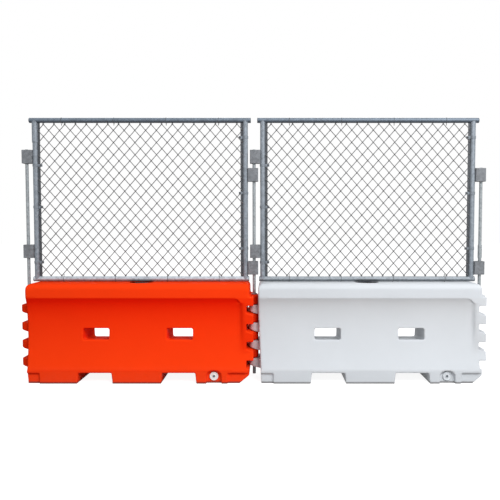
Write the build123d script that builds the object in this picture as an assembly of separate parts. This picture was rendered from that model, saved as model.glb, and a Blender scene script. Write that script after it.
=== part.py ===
from build123d import *
import os
from math import hypot

# Two water-filled barriers, hinged on drop pins, with a chain-link panel standing on each.
# X runs along the fence, the face with the drain plugs looks along -Y, the ground is Z = 0.
# The origin is on the ground, under the middle drop pin. All sizes are in millimetres.

# Fence line
pin_pitch = 1908.0
running_gap = 0.3

# Barrier moulding
barrier_height = 813.0
base_width = 457.0
foot_height = 110.0
waist_width = 304.0
waist_bottom = 470.0
waist_top = 545.0
band_width = 376.0
band_bottom = 697.0
crown_radius = 45.0
shoulder_radius = 40.0
end_setback = 36.0
left_end_taper = 26.0
left_taper_top = 575.0
base_corner_radius = 40.0
toe_chamfer_length = 80.0
toe_chamfer_height = 65.0
column_length = 62.0
recess_corner_radius = 80.0
barrier_wall = 7.0
corner_pocket_height = 85.0
corner_pocket_depth = 20.0
left_corner_pocket = 125.0
right_corner_pocket = 175.0

# Fork holes and fork notches
fork_hole_width = 214.0
fork_hole_height = 95.0
fork_hole_bottom = 348.0
fork_hole_fall = 31.0
fork_hole_spacing = 690.0
fork_hole_corner = 12.0
notch_spacing = 684.0
notch_height = 88.0
notch_top_width = 270.0
notch_base_width = 288.0

# Hinge knuckles
knuckle_count = 4
knuckle_pitch = 150.0
knuckle_depth = 200.0
knuckle_corner = 60.0
knuckle_recess = 24.0
knuckle_gap = 4.0
knuckle_slope = 0.25
slope_gap = 6.0
finger_height = 72.0
finger_bottom = 183.0
finger_reach = 36.0
cheek_setback = 2.0
lug_reach = 44.0
groove_width = 236.0

# Fill opening in the top of the barrier
fill_pocket_diameter = 200.0
fill_pocket_depth = 28.0
fill_neck_diameter = 110.0
fill_cap_diameter = 140.0
fill_cap_flange = 8.0
fill_cap_plug_tail = 6.0
fill_grip_height = 11.0
fill_grip_width = 16.0
fill_grip_length = 116.0
fill_lug_reach = 7.0
fill_lug_width = 26.0
fill_lug_height = 8.0
fill_clearance = 1.0
gasket_thickness = 3.0

# Drain opening in the foot of the barrier
drain_offset = 629.0
drain_height = 58.0
drain_pocket_width = 124.0
drain_pocket_height = 105.0
drain_pocket_radius = 50.0
drain_pocket_depth = 30.0
drain_bore = 50.0
drain_flange_diameter = 70.0
drain_flange = 8.0
drain_shank_length = 18.0
drain_socket_size = 20.0
drain_socket_depth = 5.0

# Fence panel frame
panel_height = 1372.0
tube_diameter = 42.2
tube_wall = 2.4
post_setback = 72.5
rail_setback = 30.0
bottom_rail_setback = 45.0
cap_flange = 3.0
cap_spigot_length = 14.0
cap_spigot_wall = 2.5
head_sleeve_length = 160.0
head_sleeve_wall = 4.0
head_sleeve_drop = 1.0

# Pin sleeves on the posts, with their rise above the barrier top
sleeve_depth = 60.0
sleeve_reach = 34.0
sleeve_height = 112.0
sleeve_wall = 5.0
sleeve_weld = 1.0
left_sleeve_rises = (203.0, 996.0)
right_sleeve_rises = (63.0, 845.0)

# Chain-link fabric as a flat net
net_columns = 14
net_rows = 11
net_strand = 4.5
net_thickness = 5.0

# Tension bars, bands and bolts
bar_width = 16.0
bar_thickness = 5.0
bar_gap = 4.3
bands_per_post = 3
band_strap = 3.0
band_height = 22.0
band_lip = 10.0
bolt_diameter = 8.0
bolt_head_diameter = 17.0
bolt_head_height = 5.0
bolt_tail = 4.0
nut_width = 13.0
nut_height = 6.5

# Tie wires
ties_per_rail = 4
tie_wire = 3.5

# Drop pins
pin_diameter = 26.7
pin_clearance = 0.3
pin_pipe_wall = 4.0
middle_pin_foot = 29.0
end_pin_grip = 60.0
pin_proud = 5.0
coupling_diameter = 34.0
coupling_length = 112.0
coupling_rise = 202.0
collar_diameter = 46.0
collar_height = 12.0

# Places that follow from the sizes above
section_half = pin_pitch / 2
end_x = section_half - end_setback
slope_share = (base_width - band_width) / (base_width - waist_width)
column_bottom = foot_height + slope_share * (waist_bottom - foot_height)
lug_height = knuckle_pitch - finger_height - knuckle_gap - slope_gap
lug_bottom = finger_bottom - knuckle_gap - lug_height
top_finger = finger_bottom + (knuckle_count - 1) * knuckle_pitch + finger_height
top_lug = lug_bottom + (knuckle_count - 1) * knuckle_pitch + lug_height
knuckle_overlap = 3 * barrier_wall
recess_x = end_x - knuckle_recess
pin_bore_radius = pin_diameter / 2 + pin_clearance
pocket_floor = barrier_height - fill_pocket_depth
cap_plug_radius = fill_neck_diameter / 2 - fill_clearance
cap_lug_half = cap_plug_radius + fill_lug_reach
lug_slot_half = cap_lug_half + fill_clearance
lug_slot_width = fill_lug_width + 2 * fill_clearance
drain_floor = drain_pocket_depth - base_width / 2
tube_radius = tube_diameter / 2
panel_seat = barrier_height + tie_wire + 2 * running_gap
bottom_rail_z = panel_seat + tube_radius
top_rail_z = panel_seat + panel_height - tube_radius
rail_end = section_half - rail_setback
bottom_rail_end = section_half - bottom_rail_setback
post_x = section_half - post_setback
post_face = post_x - tube_radius
bar_outer = post_face - bar_gap
bar_inner = bar_outer - bar_width
bolt_x = bar_inner - bolt_diameter / 2 - running_gap
band_tip = bolt_x - band_lip
band_ear = bar_thickness / 2 + band_strap
head_sleeve_top = top_rail_z - tube_radius - head_sleeve_drop

# The net's diamonds: each strand is centred on a diamond's edge, and the outer tips reach the frame
net_right = bar_inner - running_gap
net_bottom = bottom_rail_z + tube_radius + running_gap
net_top = top_rail_z - tube_radius - running_gap
net_middle = (net_bottom + net_top) / 2
net_upper = (net_top - net_bottom) / 2
net_aspect = (net_right / net_columns) / (net_upper / net_rows)
strand_x = net_strand / 2 * hypot(net_aspect, 1)
strand_z = net_strand / 2 * hypot(1, 1 / net_aspect)
cell_x = (net_right - strand_x) / net_columns
cell_z = (net_upper - strand_z) / net_rows
tie_drop = 2 * strand_z + tie_wire + running_gap


# Solids swept straight along one axis
def along_x(sketch, start, end):
    return extrude(Plane.YZ.offset(start) * sketch, amount=end - start, dir=(1, 0, 0))


def along_y(sketch, start, end):
    return extrude(Plane.XZ.offset(-start) * sketch, amount=end - start, dir=(0, 1, 0))


def along_z(sketch, bottom, top):
    return extrude(Plane.XY.offset(bottom) * sketch, amount=top - bottom, dir=(0, 0, 1))


def upright(x, y, radius, bottom, top):
    return along_z(Pos(x, y) * Circle(radius), bottom, top)


def level(x, z, radius, start, end):
    return along_y(Pos(x, z) * Circle(radius), start, end)


def polygon(points):
    return make_face(Polyline(*points, close=True))


def write(name, shape):
    export_step(shape, f"parts/{name}.step")


def write_group(name, solids):
    write(name, Compound(children=solids))


# Barrier: cross-section, plan and elevation
def cross_section(side, inset):
    mirrored = [(-y, z) for y, z in reversed(side)]
    outline = polygon(side + mirrored)
    outline = fillet(outline.vertices().sort_by(Axis.Y)[-2:], crown_radius)
    return offset(outline, -inset, kind=Kind.INTERSECTION) if inset else outline


def waisted_section(inset):
    side = [
        (base_width / 2, 0),
        (base_width / 2, foot_height),
        (waist_width / 2, waist_bottom),
        (waist_width / 2, waist_top),
        (band_width / 2, band_bottom),
        (band_width / 2, barrier_height),
    ]
    return cross_section(side, inset)


def column_section(inset):
    side = [
        (base_width / 2, 0),
        (base_width / 2, foot_height),
        (band_width / 2, column_bottom),
        (band_width / 2, barrier_height),
    ]
    return cross_section(side, inset)


def column_elevation(inset):
    start = end_x - column_length + inset
    radius = recess_corner_radius - inset
    flank = Pos((start + end_x) / 2, barrier_height / 2) * Rectangle(end_x - start, barrier_height)
    corner_top = band_bottom - inset
    corner = Pos(start - radius / 2, corner_top - radius / 2) * Rectangle(radius, radius)
    return flank + (corner - Pos(start - radius, corner_top - radius) * Circle(radius))


def corner_trim(radius):
    reach = 2 * radius
    return Pos(reach / 2, reach / 2) * Rectangle(reach, reach) - Circle(radius)


def base_corner_trims(inset):
    x = end_x - base_corner_radius
    y = base_width / 2 - base_corner_radius
    trim = corner_trim(base_corner_radius - inset)
    corners = [(x, y, 0), (-x, y, 90), (-x, -y, 180), (x, -y, 270)]
    places = [Location((u, v, 0), (0, 0, turn)) for u, v, turn in corners]
    return [along_z(place * trim, 0, barrier_height) for place in places]


def shoulder_trims(inset):
    x = end_x - shoulder_radius
    z = barrier_height - shoulder_radius
    trim = corner_trim(shoulder_radius - inset)
    places = [Location((x, z, 0)), Location((-x, z, 0), (0, 0, 90))]
    return [along_y(place * trim, -base_width, base_width) for place in places]


def toe_trim(inset):
    slant = hypot(toe_chamfer_length, toe_chamfer_height)
    x = end_x - inset * toe_chamfer_height / slant
    z = inset * toe_chamfer_length / slant
    wedge = polygon([
        (x - 2 * toe_chamfer_length, z - toe_chamfer_height),
        (x + toe_chamfer_length, z - toe_chamfer_height),
        (x + toe_chamfer_length, z + 2 * toe_chamfer_height),
    ])
    return along_y(wedge, -base_width, base_width)


def left_end_trim(inset):
    lean = left_end_taper / left_taper_top
    x = inset * hypot(1, lean) - end_x
    outside = -section_half
    low = -left_end_taper
    high = left_taper_top + left_end_taper
    wedge = polygon([
        (outside, low),
        (x + lean * (left_taper_top - low), low),
        (x + lean * (left_taper_top - high), high),
        (outside, high),
    ])
    return along_y(wedge, -base_width, base_width)


def tank(inset):
    end = end_x - inset
    body = along_x(waisted_section(inset), -end, end)
    column = along_x(column_section(inset), 0, end)
    column &= along_y(column_elevation(inset), -base_width, base_width)
    body += column
    body -= base_corner_trims(inset) + shoulder_trims(inset)
    return body - toe_trim(inset) - left_end_trim(inset)


# Hinge knuckles: fingers on the right end, with slots between them, and lugs in a groove on the left end
def knuckle_plan(root, reach, inset):
    tip = section_half + reach - inset
    half_depth = knuckle_depth / 2 - inset
    plan = polygon([(root, -half_depth), (tip, -half_depth), (tip, half_depth), (root, half_depth)])
    plan = fillet(plan.vertices().sort_by(Axis.X)[-2:], knuckle_corner - inset)
    return along_z(plan, 0, barrier_height)


def tapered(root, tip, floor, floor_slope, ceiling, ceiling_slope):
    profile = polygon([
        (root, floor + floor_slope * (section_half - root)),
        (tip, floor + floor_slope * (section_half - tip)),
        (tip, ceiling + ceiling_slope * (section_half - tip)),
        (root, ceiling + ceiling_slope * (section_half - root)),
    ])
    return along_y(profile, -base_width, base_width)


def finger(index, inset):
    slope = 0 if index == knuckle_count - 1 else knuckle_slope
    root = end_x - knuckle_overlap
    bottom = finger_bottom + index * knuckle_pitch
    top = bottom + finger_height
    cheek = along_x(column_section(inset), root, section_half - cheek_setback - inset)
    solid = cheek + knuckle_plan(root, finger_reach, inset)
    tip = section_half + finger_reach
    return solid & tapered(root, tip, bottom + inset, 0, top - inset * hypot(1, slope), slope)


def lug(index, inset):
    root = recess_x - knuckle_overlap
    bottom = lug_bottom + index * knuckle_pitch
    top = bottom + lug_height
    tip = section_half + lug_reach
    floor = bottom + inset * hypot(1, knuckle_slope)
    solid = knuckle_plan(root, lug_reach, inset)
    solid &= tapered(root, tip, floor, -knuckle_slope, top - inset, 0)
    return solid.rotate(Axis.Z, 180)


def knuckles(inset):
    fingers = [finger(index, inset) for index in range(knuckle_count)]
    lugs = [lug(index, inset) for index in range(knuckle_count)]
    return fingers + lugs


def lug_slots(grow):
    slots = []
    for index in range(knuckle_count):
        ceiling = finger_bottom + index * knuckle_pitch + grow
        floor = finger_bottom + (index - 1) * knuckle_pitch + finger_height - grow * hypot(1, knuckle_slope)
        slots.append(tapered(recess_x - grow, section_half, floor, knuckle_slope, ceiling, 0))
    return slots


def finger_groove(grow):
    half = groove_width / 2 + grow
    inner = grow - recess_x
    plan = polygon([(-section_half, -half), (inner, -half), (inner, half), (-section_half, half)])
    return along_z(plan, lug_bottom - grow, top_finger + knuckle_gap + grow)


def corner_pockets(grow):
    floor = base_width / 2 - corner_pocket_depth - grow
    spans = [
        (-section_half, left_corner_pocket + grow - end_x),
        (end_x - right_corner_pocket - grow, section_half),
    ]
    pockets = []
    for start, end in spans:
        face = Pos((start + end) / 2, 0) * Rectangle(end - start, 2 * (corner_pocket_height + grow))
        pockets.append(along_y(face, floor, base_width))
        pockets.append(along_y(face, -base_width, -floor))
    return pockets


# A fork hole's floor falls from the front face of the waist to the back face
def fork_hole(x, grow):
    width = fork_hole_width + 2 * grow
    roof = fork_hole_bottom + fork_hole_height + grow
    ends = []
    for y in (-base_width, base_width):
        floor = fork_hole_bottom - fork_hole_fall * (y / waist_width + 0.5) - grow
        outline = RectangleRounded(width, roof - floor, fork_hole_corner + grow)
        ends.append(Plane.XZ.offset(-y) * Pos(x, (roof + floor) / 2) * outline)
    return loft(ends)


def fork_holes(grow):
    return [fork_hole(x, grow) for x in (-fork_hole_spacing / 2, fork_hole_spacing / 2)]


def fork_notches(grow):
    top = notch_height + grow
    half_top = notch_top_width / 2 + grow
    half_base = notch_base_width / 2 + grow
    notch = polygon([(-half_base, 0), (half_base, 0), (half_top, top), (-half_top, top)])
    places = [-notch_spacing / 2, notch_spacing / 2]
    return [along_y(Pos(x, 0) * notch, -base_width, base_width) for x in places]


def drain_pocket(grow):
    half = drain_pocket_width / 2 + grow
    top = drain_pocket_height + grow
    arch = polygon([(-half, 0), (half, 0), (half, top), (-half, top)])
    arch = fillet(arch.vertices().sort_by(Axis.Y)[-2:], drain_pocket_radius + grow)
    return along_y(Pos(drain_offset, 0) * arch, -base_width, drain_floor + grow)


def fill_pocket(grow):
    return upright(0, 0, fill_pocket_diameter / 2 + grow, pocket_floor - grow, barrier_height)


def fill_neck():
    keyhole = Circle(fill_neck_diameter / 2) + Rectangle(lug_slot_width, 2 * lug_slot_half)
    return along_z(keyhole, pocket_floor - 2 * barrier_wall, pocket_floor)


def barrier():
    pins = [-section_half, section_half]
    shell = tank(0) - lug_slots(0) - finger_groove(0) + knuckles(0)
    cavity = tank(barrier_wall) - lug_slots(barrier_wall) - finger_groove(barrier_wall)
    cavity += knuckles(barrier_wall)
    cavity -= fork_holes(barrier_wall) + fork_notches(barrier_wall) + corner_pockets(barrier_wall)
    cavity -= [drain_pocket(barrier_wall), fill_pocket(barrier_wall)]
    cavity -= [upright(x, 0, pin_bore_radius + barrier_wall, 0, barrier_height) for x in pins]
    shell -= cavity
    shell -= fork_holes(0) + fork_notches(0) + corner_pockets(0)
    shell -= [drain_pocket(0), fill_pocket(0), fill_neck()]
    shell -= level(drain_offset, drain_height, drain_bore / 2, drain_floor, drain_floor + 2 * barrier_wall)
    shell -= [upright(x, 0, pin_bore_radius, 0, barrier_height) for x in pins]
    return shell


# Fill cap with its quarter-turn lugs, and the gasket it turns on
def fill_gasket():
    ring = Circle(fill_cap_diameter / 2) - Circle(hypot(lug_slot_half, lug_slot_width / 2))
    return along_z(ring, pocket_floor, pocket_floor + gasket_thickness)


def fill_cap():
    flange_bottom = pocket_floor + gasket_thickness + running_gap
    flange_top = flange_bottom + fill_cap_flange
    lug_top = pocket_floor - barrier_wall - running_gap
    grip = SlotOverall(fill_grip_length, fill_grip_width)
    cap = upright(0, 0, fill_cap_diameter / 2, flange_bottom, flange_top)
    cap += upright(0, 0, cap_plug_radius, lug_top - fill_lug_height - fill_cap_plug_tail, flange_bottom)
    cap += along_z(grip, flange_top, flange_top + fill_grip_height)
    cap += along_z(Rectangle(2 * cap_lug_half, fill_lug_width), lug_top - fill_lug_height, lug_top)
    return cap


# Drain plug and its gasket
def drain_gasket():
    ring = Circle(drain_flange_diameter / 2) - Circle(drain_bore / 2 + running_gap)
    return along_y(Pos(drain_offset, drain_height) * ring, drain_floor - gasket_thickness, drain_floor)


def drain_plug():
    seat = drain_floor - gasket_thickness
    face = seat - drain_flange
    tail = drain_floor + drain_shank_length
    plug = level(drain_offset, drain_height, drain_flange_diameter / 2, face, seat)
    plug += level(drain_offset, drain_height, drain_bore / 2 - running_gap, seat, tail)
    socket = Pos(drain_offset, drain_height) * Rectangle(drain_socket_size, drain_socket_size)
    return plug - along_y(socket, face, face + drain_socket_depth)


# Panel frame
def tube_section():
    return Circle(tube_radius) - Circle(tube_radius - tube_wall)


def rail(height, end):
    return along_x(Pos(0, height) * tube_section(), -end, end)


def post(side):
    heights = (bottom_rail_z, top_rail_z)
    tube = along_z(Pos(side * post_x, 0) * tube_section(), bottom_rail_z, top_rail_z)
    return tube - [along_x(Pos(0, z) * Circle(tube_radius), -rail_end, rail_end) for z in heights]


def rail_end_caps():
    spigot_radius = tube_radius - tube_wall
    spigot = Circle(spigot_radius) - Circle(spigot_radius - cap_spigot_wall)
    caps = []
    for height, end in ((bottom_rail_z, bottom_rail_end), (top_rail_z, rail_end)):
        cap = along_x(Pos(0, height) * Circle(tube_radius), end, end + cap_flange)
        cap += along_x(Pos(0, height) * spigot, end - cap_spigot_length, end)
        caps += [cap, cap.rotate(Axis.Z, 180)]
    return caps


def head_sleeve():
    ring = Circle(tube_radius + head_sleeve_wall) - Circle(tube_radius)
    return along_z(Pos(-post_x, 0) * ring, head_sleeve_top - head_sleeve_length, head_sleeve_top)


def pin_sleeve(side, rise):
    bottom = barrier_height + rise
    inner = post_x + tube_radius - sleeve_weld
    outer = section_half + sleeve_reach
    length = outer - inner
    window = Rectangle(length - 2 * sleeve_wall, sleeve_depth - 2 * sleeve_wall)
    ring = Rectangle(length, sleeve_depth) - window
    sleeve = along_z(Pos(side * (inner + outer) / 2, 0) * ring, bottom, bottom + sleeve_height)
    return sleeve - upright(side * post_x, 0, tube_radius, bottom, bottom + sleeve_height)


# Chain-link fabric: one face with a diamond hole for each gap
def tip_x(column):
    return strand_x - net_right + (2 * column + 1) * cell_x


def notch_z(row):
    return net_bottom + strand_z + 2 * row * cell_z


def net_outline():
    points = []
    for i in range(net_columns):
        points.append((tip_x(i), net_upper))
        points.append((tip_x(i) + cell_x, net_upper - cell_z))
    points.pop()
    for j in range(net_rows):
        z = net_upper - strand_z - (2 * j + 1) * cell_z
        points.append((net_right, z))
        points.append((net_right - cell_x, z - cell_z))
    points.pop()
    return points + [(-x, -z) for x, z in points]


def net_holes():
    half_x = cell_x - strand_x
    half_z = cell_z - strand_z
    holes = []
    for j in range(1, 2 * net_rows):
        for i in range(1, 2 * net_columns):
            if (i + j) % 2 == 0:
                x = strand_x - net_right + i * cell_x
                z = strand_z - net_upper + j * cell_z
                holes.append([(x - half_x, z), (x, z - half_z), (x + half_x, z), (x, z + half_z)])
    return holes


def chain_link():
    outline = Wire.make_polygon(net_outline(), close=True)
    holes = [Wire.make_polygon(hole, close=True) for hole in net_holes()]
    net = Pos(0, net_middle) * Face(outline, holes)
    return along_y(net, -net_thickness / 2, net_thickness / 2)


# Tension bars, with bands bolted round them where the fabric's edge stands back and no sleeve is in the way
def tension_bar(side):
    strip = Pos(side * (bar_outer + bar_inner) / 2, 0) * Rectangle(bar_width, bar_thickness)
    return along_z(strip, net_bottom, net_top)


def blocked_spans(side):
    rises = right_sleeve_rises if side > 0 else left_sleeve_rises
    spans = [(barrier_height + rise, barrier_height + rise + sleeve_height) for rise in rises]
    if side < 0:
        spans.append((head_sleeve_top - head_sleeve_length, head_sleeve_top))
    return spans


def band_levels(side):
    half = band_height / 2
    levels = [notch_z(row) for row in range(1, net_rows)]
    clear = [z for z in levels if all(z + half < low or z - half > high for low, high in blocked_spans(side))]
    step = (len(clear) - 1) / (bands_per_post - 1)
    return [clear[round(i * step)] for i in range(bands_per_post)]


def band_places():
    return [(side, z) for side in (-1, 1) for z in band_levels(side)]


def tension_bands():
    plan = Pos(post_x, 0) * Circle(tube_radius + band_strap)
    plan += Pos((post_x + band_tip) / 2, 0) * Rectangle(post_x - band_tip, 2 * band_ear)
    plan -= Pos(post_x, 0) * Circle(tube_radius)
    plan -= Pos((post_x + band_tip) / 2, 0) * Rectangle(post_x - band_tip, bar_thickness)
    bands = []
    for side, z in band_places():
        band = along_z(plan, z - band_height / 2, z + band_height / 2)
        band -= level(bolt_x, z, bolt_diameter / 2 + running_gap, -band_ear, band_ear)
        bands.append(band if side > 0 else band.rotate(Axis.Z, 180))
    return bands


def carriage_bolts():
    bolts = []
    for side, z in band_places():
        x = side * bolt_x
        bolt = level(x, z, bolt_diameter / 2, -band_ear, band_ear + nut_height + bolt_tail)
        bolt += level(x, z, bolt_head_diameter / 2, -band_ear - bolt_head_height, -band_ear)
        bolts.append(bolt)
    return bolts


def band_nuts():
    hexagon = RegularPolygon(nut_width / 2, 6, major_radius=False) - Circle(bolt_diameter / 2)
    places = [Pos(side * bolt_x, z) for side, z in band_places()]
    return [along_y(place * hexagon, band_ear, band_ear + nut_height) for place in places]


# Tie wires: a loop round the rail and the nearest tip of the fabric
def tie_loop(x, rail_z, fabric_side):
    radius = tube_radius + running_gap + tie_wire / 2
    low = rail_z + fabric_side * tie_drop
    path = Plane.YZ.offset(x) * (
        Line((radius, low), (radius, rail_z))
        + ThreePointArc((radius, rail_z), (0, rail_z - fabric_side * radius), (-radius, rail_z))
        + Line((-radius, rail_z), (-radius, low))
        + ThreePointArc((-radius, low), (0, low + fabric_side * radius), (radius, low))
    )
    start = Plane(origin=(x, radius, low), z_dir=(0, 0, 1))
    return sweep(start * Circle(tie_wire / 2), path=path)


def rail_ties():
    loops = []
    for k in range(ties_per_rail):
        x = tip_x(round((k + 0.5) * net_columns / ties_per_rail - 0.5))
        loops += [tie_loop(x, top_rail_z, -1), tie_loop(x, bottom_rail_z, 1)]
    return loops


# Drop pins
def pin_pipe(bottom, top):
    ring = Circle(pin_diameter / 2) - Circle(pin_diameter / 2 - pin_pipe_wall)
    return along_z(ring, bottom, top)


def pin_ring(diameter, bottom, height):
    ring = Circle(diameter / 2) - Circle(pin_diameter / 2)
    return along_z(ring, bottom, bottom + height)


def drop_pin(name, x, foot, seat, top):
    coupling_bottom = barrier_height + coupling_rise
    joint = coupling_bottom + coupling_length / 2
    place = Pos(x, 0, 0)
    write(f"{name}_pin_lower_rod", place * pin_pipe(foot, joint))
    write(f"{name}_pin_upper_rod", place * pin_pipe(joint, top))
    write(f"{name}_pin_coupling", place * pin_ring(coupling_diameter, coupling_bottom, coupling_length))
    write(f"{name}_pin_stop_collar", place * pin_ring(collar_diameter, seat, collar_height))


# One section: a barrier with its fittings, and the panel that stands on it
def section(colour, side, place):
    write(f"{colour}_barrier", place * barrier())
    write(f"{colour}_fill_cap", place * fill_cap())
    write(f"{colour}_fill_gasket", place * fill_gasket())
    write(f"{colour}_drain_plug", place * drain_plug())
    write(f"{colour}_drain_gasket", place * drain_gasket())
    write(f"{side}_panel_top_rail", place * rail(top_rail_z, rail_end))
    write(f"{side}_panel_bottom_rail", place * rail(bottom_rail_z, bottom_rail_end))
    write(f"{side}_panel_left_post", place * post(-1))
    write(f"{side}_panel_right_post", place * post(1))
    write(f"{side}_panel_left_tension_bar", place * tension_bar(-1))
    write(f"{side}_panel_right_tension_bar", place * tension_bar(1))
    write(f"{side}_panel_chain_link", place * chain_link())
    write(f"{side}_panel_lower_left_sleeve", place * pin_sleeve(-1, left_sleeve_rises[0]))
    write(f"{side}_panel_upper_left_sleeve", place * pin_sleeve(-1, left_sleeve_rises[1]))
    write(f"{side}_panel_lower_right_sleeve", place * pin_sleeve(1, right_sleeve_rises[0]))
    write(f"{side}_panel_upper_right_sleeve", place * pin_sleeve(1, right_sleeve_rises[1]))
    groups = {
        "tension_bands": tension_bands(),
        "band_bolts": carriage_bolts(),
        "band_nuts": band_nuts(),
        "rail_ties": rail_ties(),
        "rail_end_caps": rail_end_caps(),
    }
    for name, solids in groups.items():
        write_group(f"{side}_panel_{name}", [place * solid for solid in solids])


os.makedirs("parts", exist_ok=True)
left_place = Pos(-section_half, 0, 0)
right_place = Pos(section_half, 0, 0)
section("orange", "left", left_place)
section("white", "right", right_place)
write("left_panel_head_sleeve", left_place * head_sleeve())

tall_pin_top = barrier_height + left_sleeve_rises[1] + sleeve_height + pin_proud
end_pin_top = barrier_height + right_sleeve_rises[1] + sleeve_height + pin_proud
drop_pin("left", -pin_pitch, top_lug - end_pin_grip, top_lug, tall_pin_top)
drop_pin("middle", 0, middle_pin_foot, top_finger, tall_pin_top)
drop_pin("right", pin_pitch, top_finger - end_pin_grip, top_finger, end_pin_top)
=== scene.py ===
import math
from functools import lru_cache

import bmesh
import bpy
from bpy.props import FloatProperty, FloatVectorProperty, IntProperty, PointerProperty
from mathutils import Matrix, Vector
from mathutils.geometry import interpolate_bezier


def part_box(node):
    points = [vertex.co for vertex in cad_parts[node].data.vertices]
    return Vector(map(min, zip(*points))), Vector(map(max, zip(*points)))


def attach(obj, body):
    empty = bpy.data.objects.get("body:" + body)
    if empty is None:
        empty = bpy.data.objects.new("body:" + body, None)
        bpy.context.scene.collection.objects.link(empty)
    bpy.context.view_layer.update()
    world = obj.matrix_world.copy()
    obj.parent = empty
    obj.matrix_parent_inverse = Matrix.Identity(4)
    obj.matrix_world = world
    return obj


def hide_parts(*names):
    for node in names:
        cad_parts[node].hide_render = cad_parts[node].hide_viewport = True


bl_info = {
    "name": "Chain-link fence on water-filled barriers",
    "version": (1, 0, 0),
    "blender": (4, 5, 0),
    "location": "3D View > Sidebar > Fence",
    "description": "Barriers, woven fabric, panel frames and drop pins around the packed fence",
    "category": "Object",
}

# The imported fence, in metres. X runs along it, its front looks along -Y, the ground is Z = 0.
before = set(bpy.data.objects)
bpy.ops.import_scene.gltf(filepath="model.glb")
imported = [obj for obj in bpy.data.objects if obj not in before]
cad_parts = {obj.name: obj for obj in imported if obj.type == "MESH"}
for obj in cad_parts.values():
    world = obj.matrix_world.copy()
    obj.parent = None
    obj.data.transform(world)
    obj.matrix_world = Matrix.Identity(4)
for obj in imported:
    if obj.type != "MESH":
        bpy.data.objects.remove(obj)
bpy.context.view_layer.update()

# Each barrier's colour with the side of the panel that stands on it
SECTIONS = {"orange": "left", "white": "right"}
PINS = ("left", "middle", "right")
POST_SIDES = {"left": -1, "right": 1}
SLEEVES = [f"{level}_{side}_sleeve" for level in ("lower", "upper") for side in POST_SIDES]

# Fineness of turned shapes and arcs, and how close two places are to count as one
LATHE_SEGMENTS = 48
ARC_STEPS = 8
FACE_STEPS = 32
TOLERANCE = 1e-6

# How far upright cuts reach above and below the ground, past the top of a barrier
CUT_REACH = 1.0

# Heights over which the barriers' finishes fade: from the ground, and about the edge that is named. The dust
# fade is real dust, the grime fade darkens the bottom edge with grime and painted shade, the foot and band
# fades paint light on foot and band, and the pocket fade paints shade in the fill pocket.
DUST_FADE = (0.0, 0.16)
GRIME_AND_SHADE_FADE = (0.009, 0.020)
FOOT_FADE = (-0.015, 0.005)
BAND_FADE = (-0.006, 0.006)
POCKET_FADE = (-0.009, -0.003)

# Sockets of nodes whose names stand for several sockets
MIX_FACTOR = 0
MIX_FIRST = 6
MIX_SECOND = 7
MIX_RESULT = 2
RANDOM_LEAST = 2
RANDOM_MOST = 3
RANDOM_RESULT = 1

# Turns for shapes that are made along Z
TURN_TO_Y = Matrix.Rotation(math.radians(-90), 4, "X")
TURN_TO_X = Matrix.Rotation(math.radians(90), 4, "Y")


@lru_cache(maxsize=None)
def node_box(node):
    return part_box(node)


def low(node):
    return node_box(node)[0]


def high(node):
    return node_box(node)[1]


def centre(node):
    return (low(node) + high(node)) / 2


# Places that the frame gives
SECTION_X = {colour: centre(f"{panel}_panel_top_rail").x for colour, panel in SECTIONS.items()}
PIN_X = {name: centre(f"{name}_pin_lower_rod").x for name in PINS}
SECTION_HALF = PIN_X["middle"] - SECTION_X["orange"]
TUBE_RADIUS = (high("left_panel_top_rail").y - low("left_panel_top_rail").y) / 2
TOP_RAIL_Z = centre("left_panel_top_rail").z
BOTTOM_RAIL_Z = centre("left_panel_bottom_rail").z
POST_X = centre("left_panel_right_post").x - SECTION_X["orange"]
BARRIER_TOP = high("orange_barrier").z


def length(label, text, metres):
    return FloatProperty(name=label, description=text, default=metres, unit="LENGTH", subtype="DISTANCE")


def slant(label, text, degrees):
    return FloatProperty(name=label, description=text, default=math.radians(degrees), subtype="ANGLE")


def tint(label, text, colour):
    default = (*colour, 1.0)
    return FloatVectorProperty(
        name=label, description=text, default=default, size=4, min=0.0, max=1.0, subtype="COLOR"
    )


def count(label, text, number):
    return IntProperty(name=label, description=text, default=number, min=1)


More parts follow.
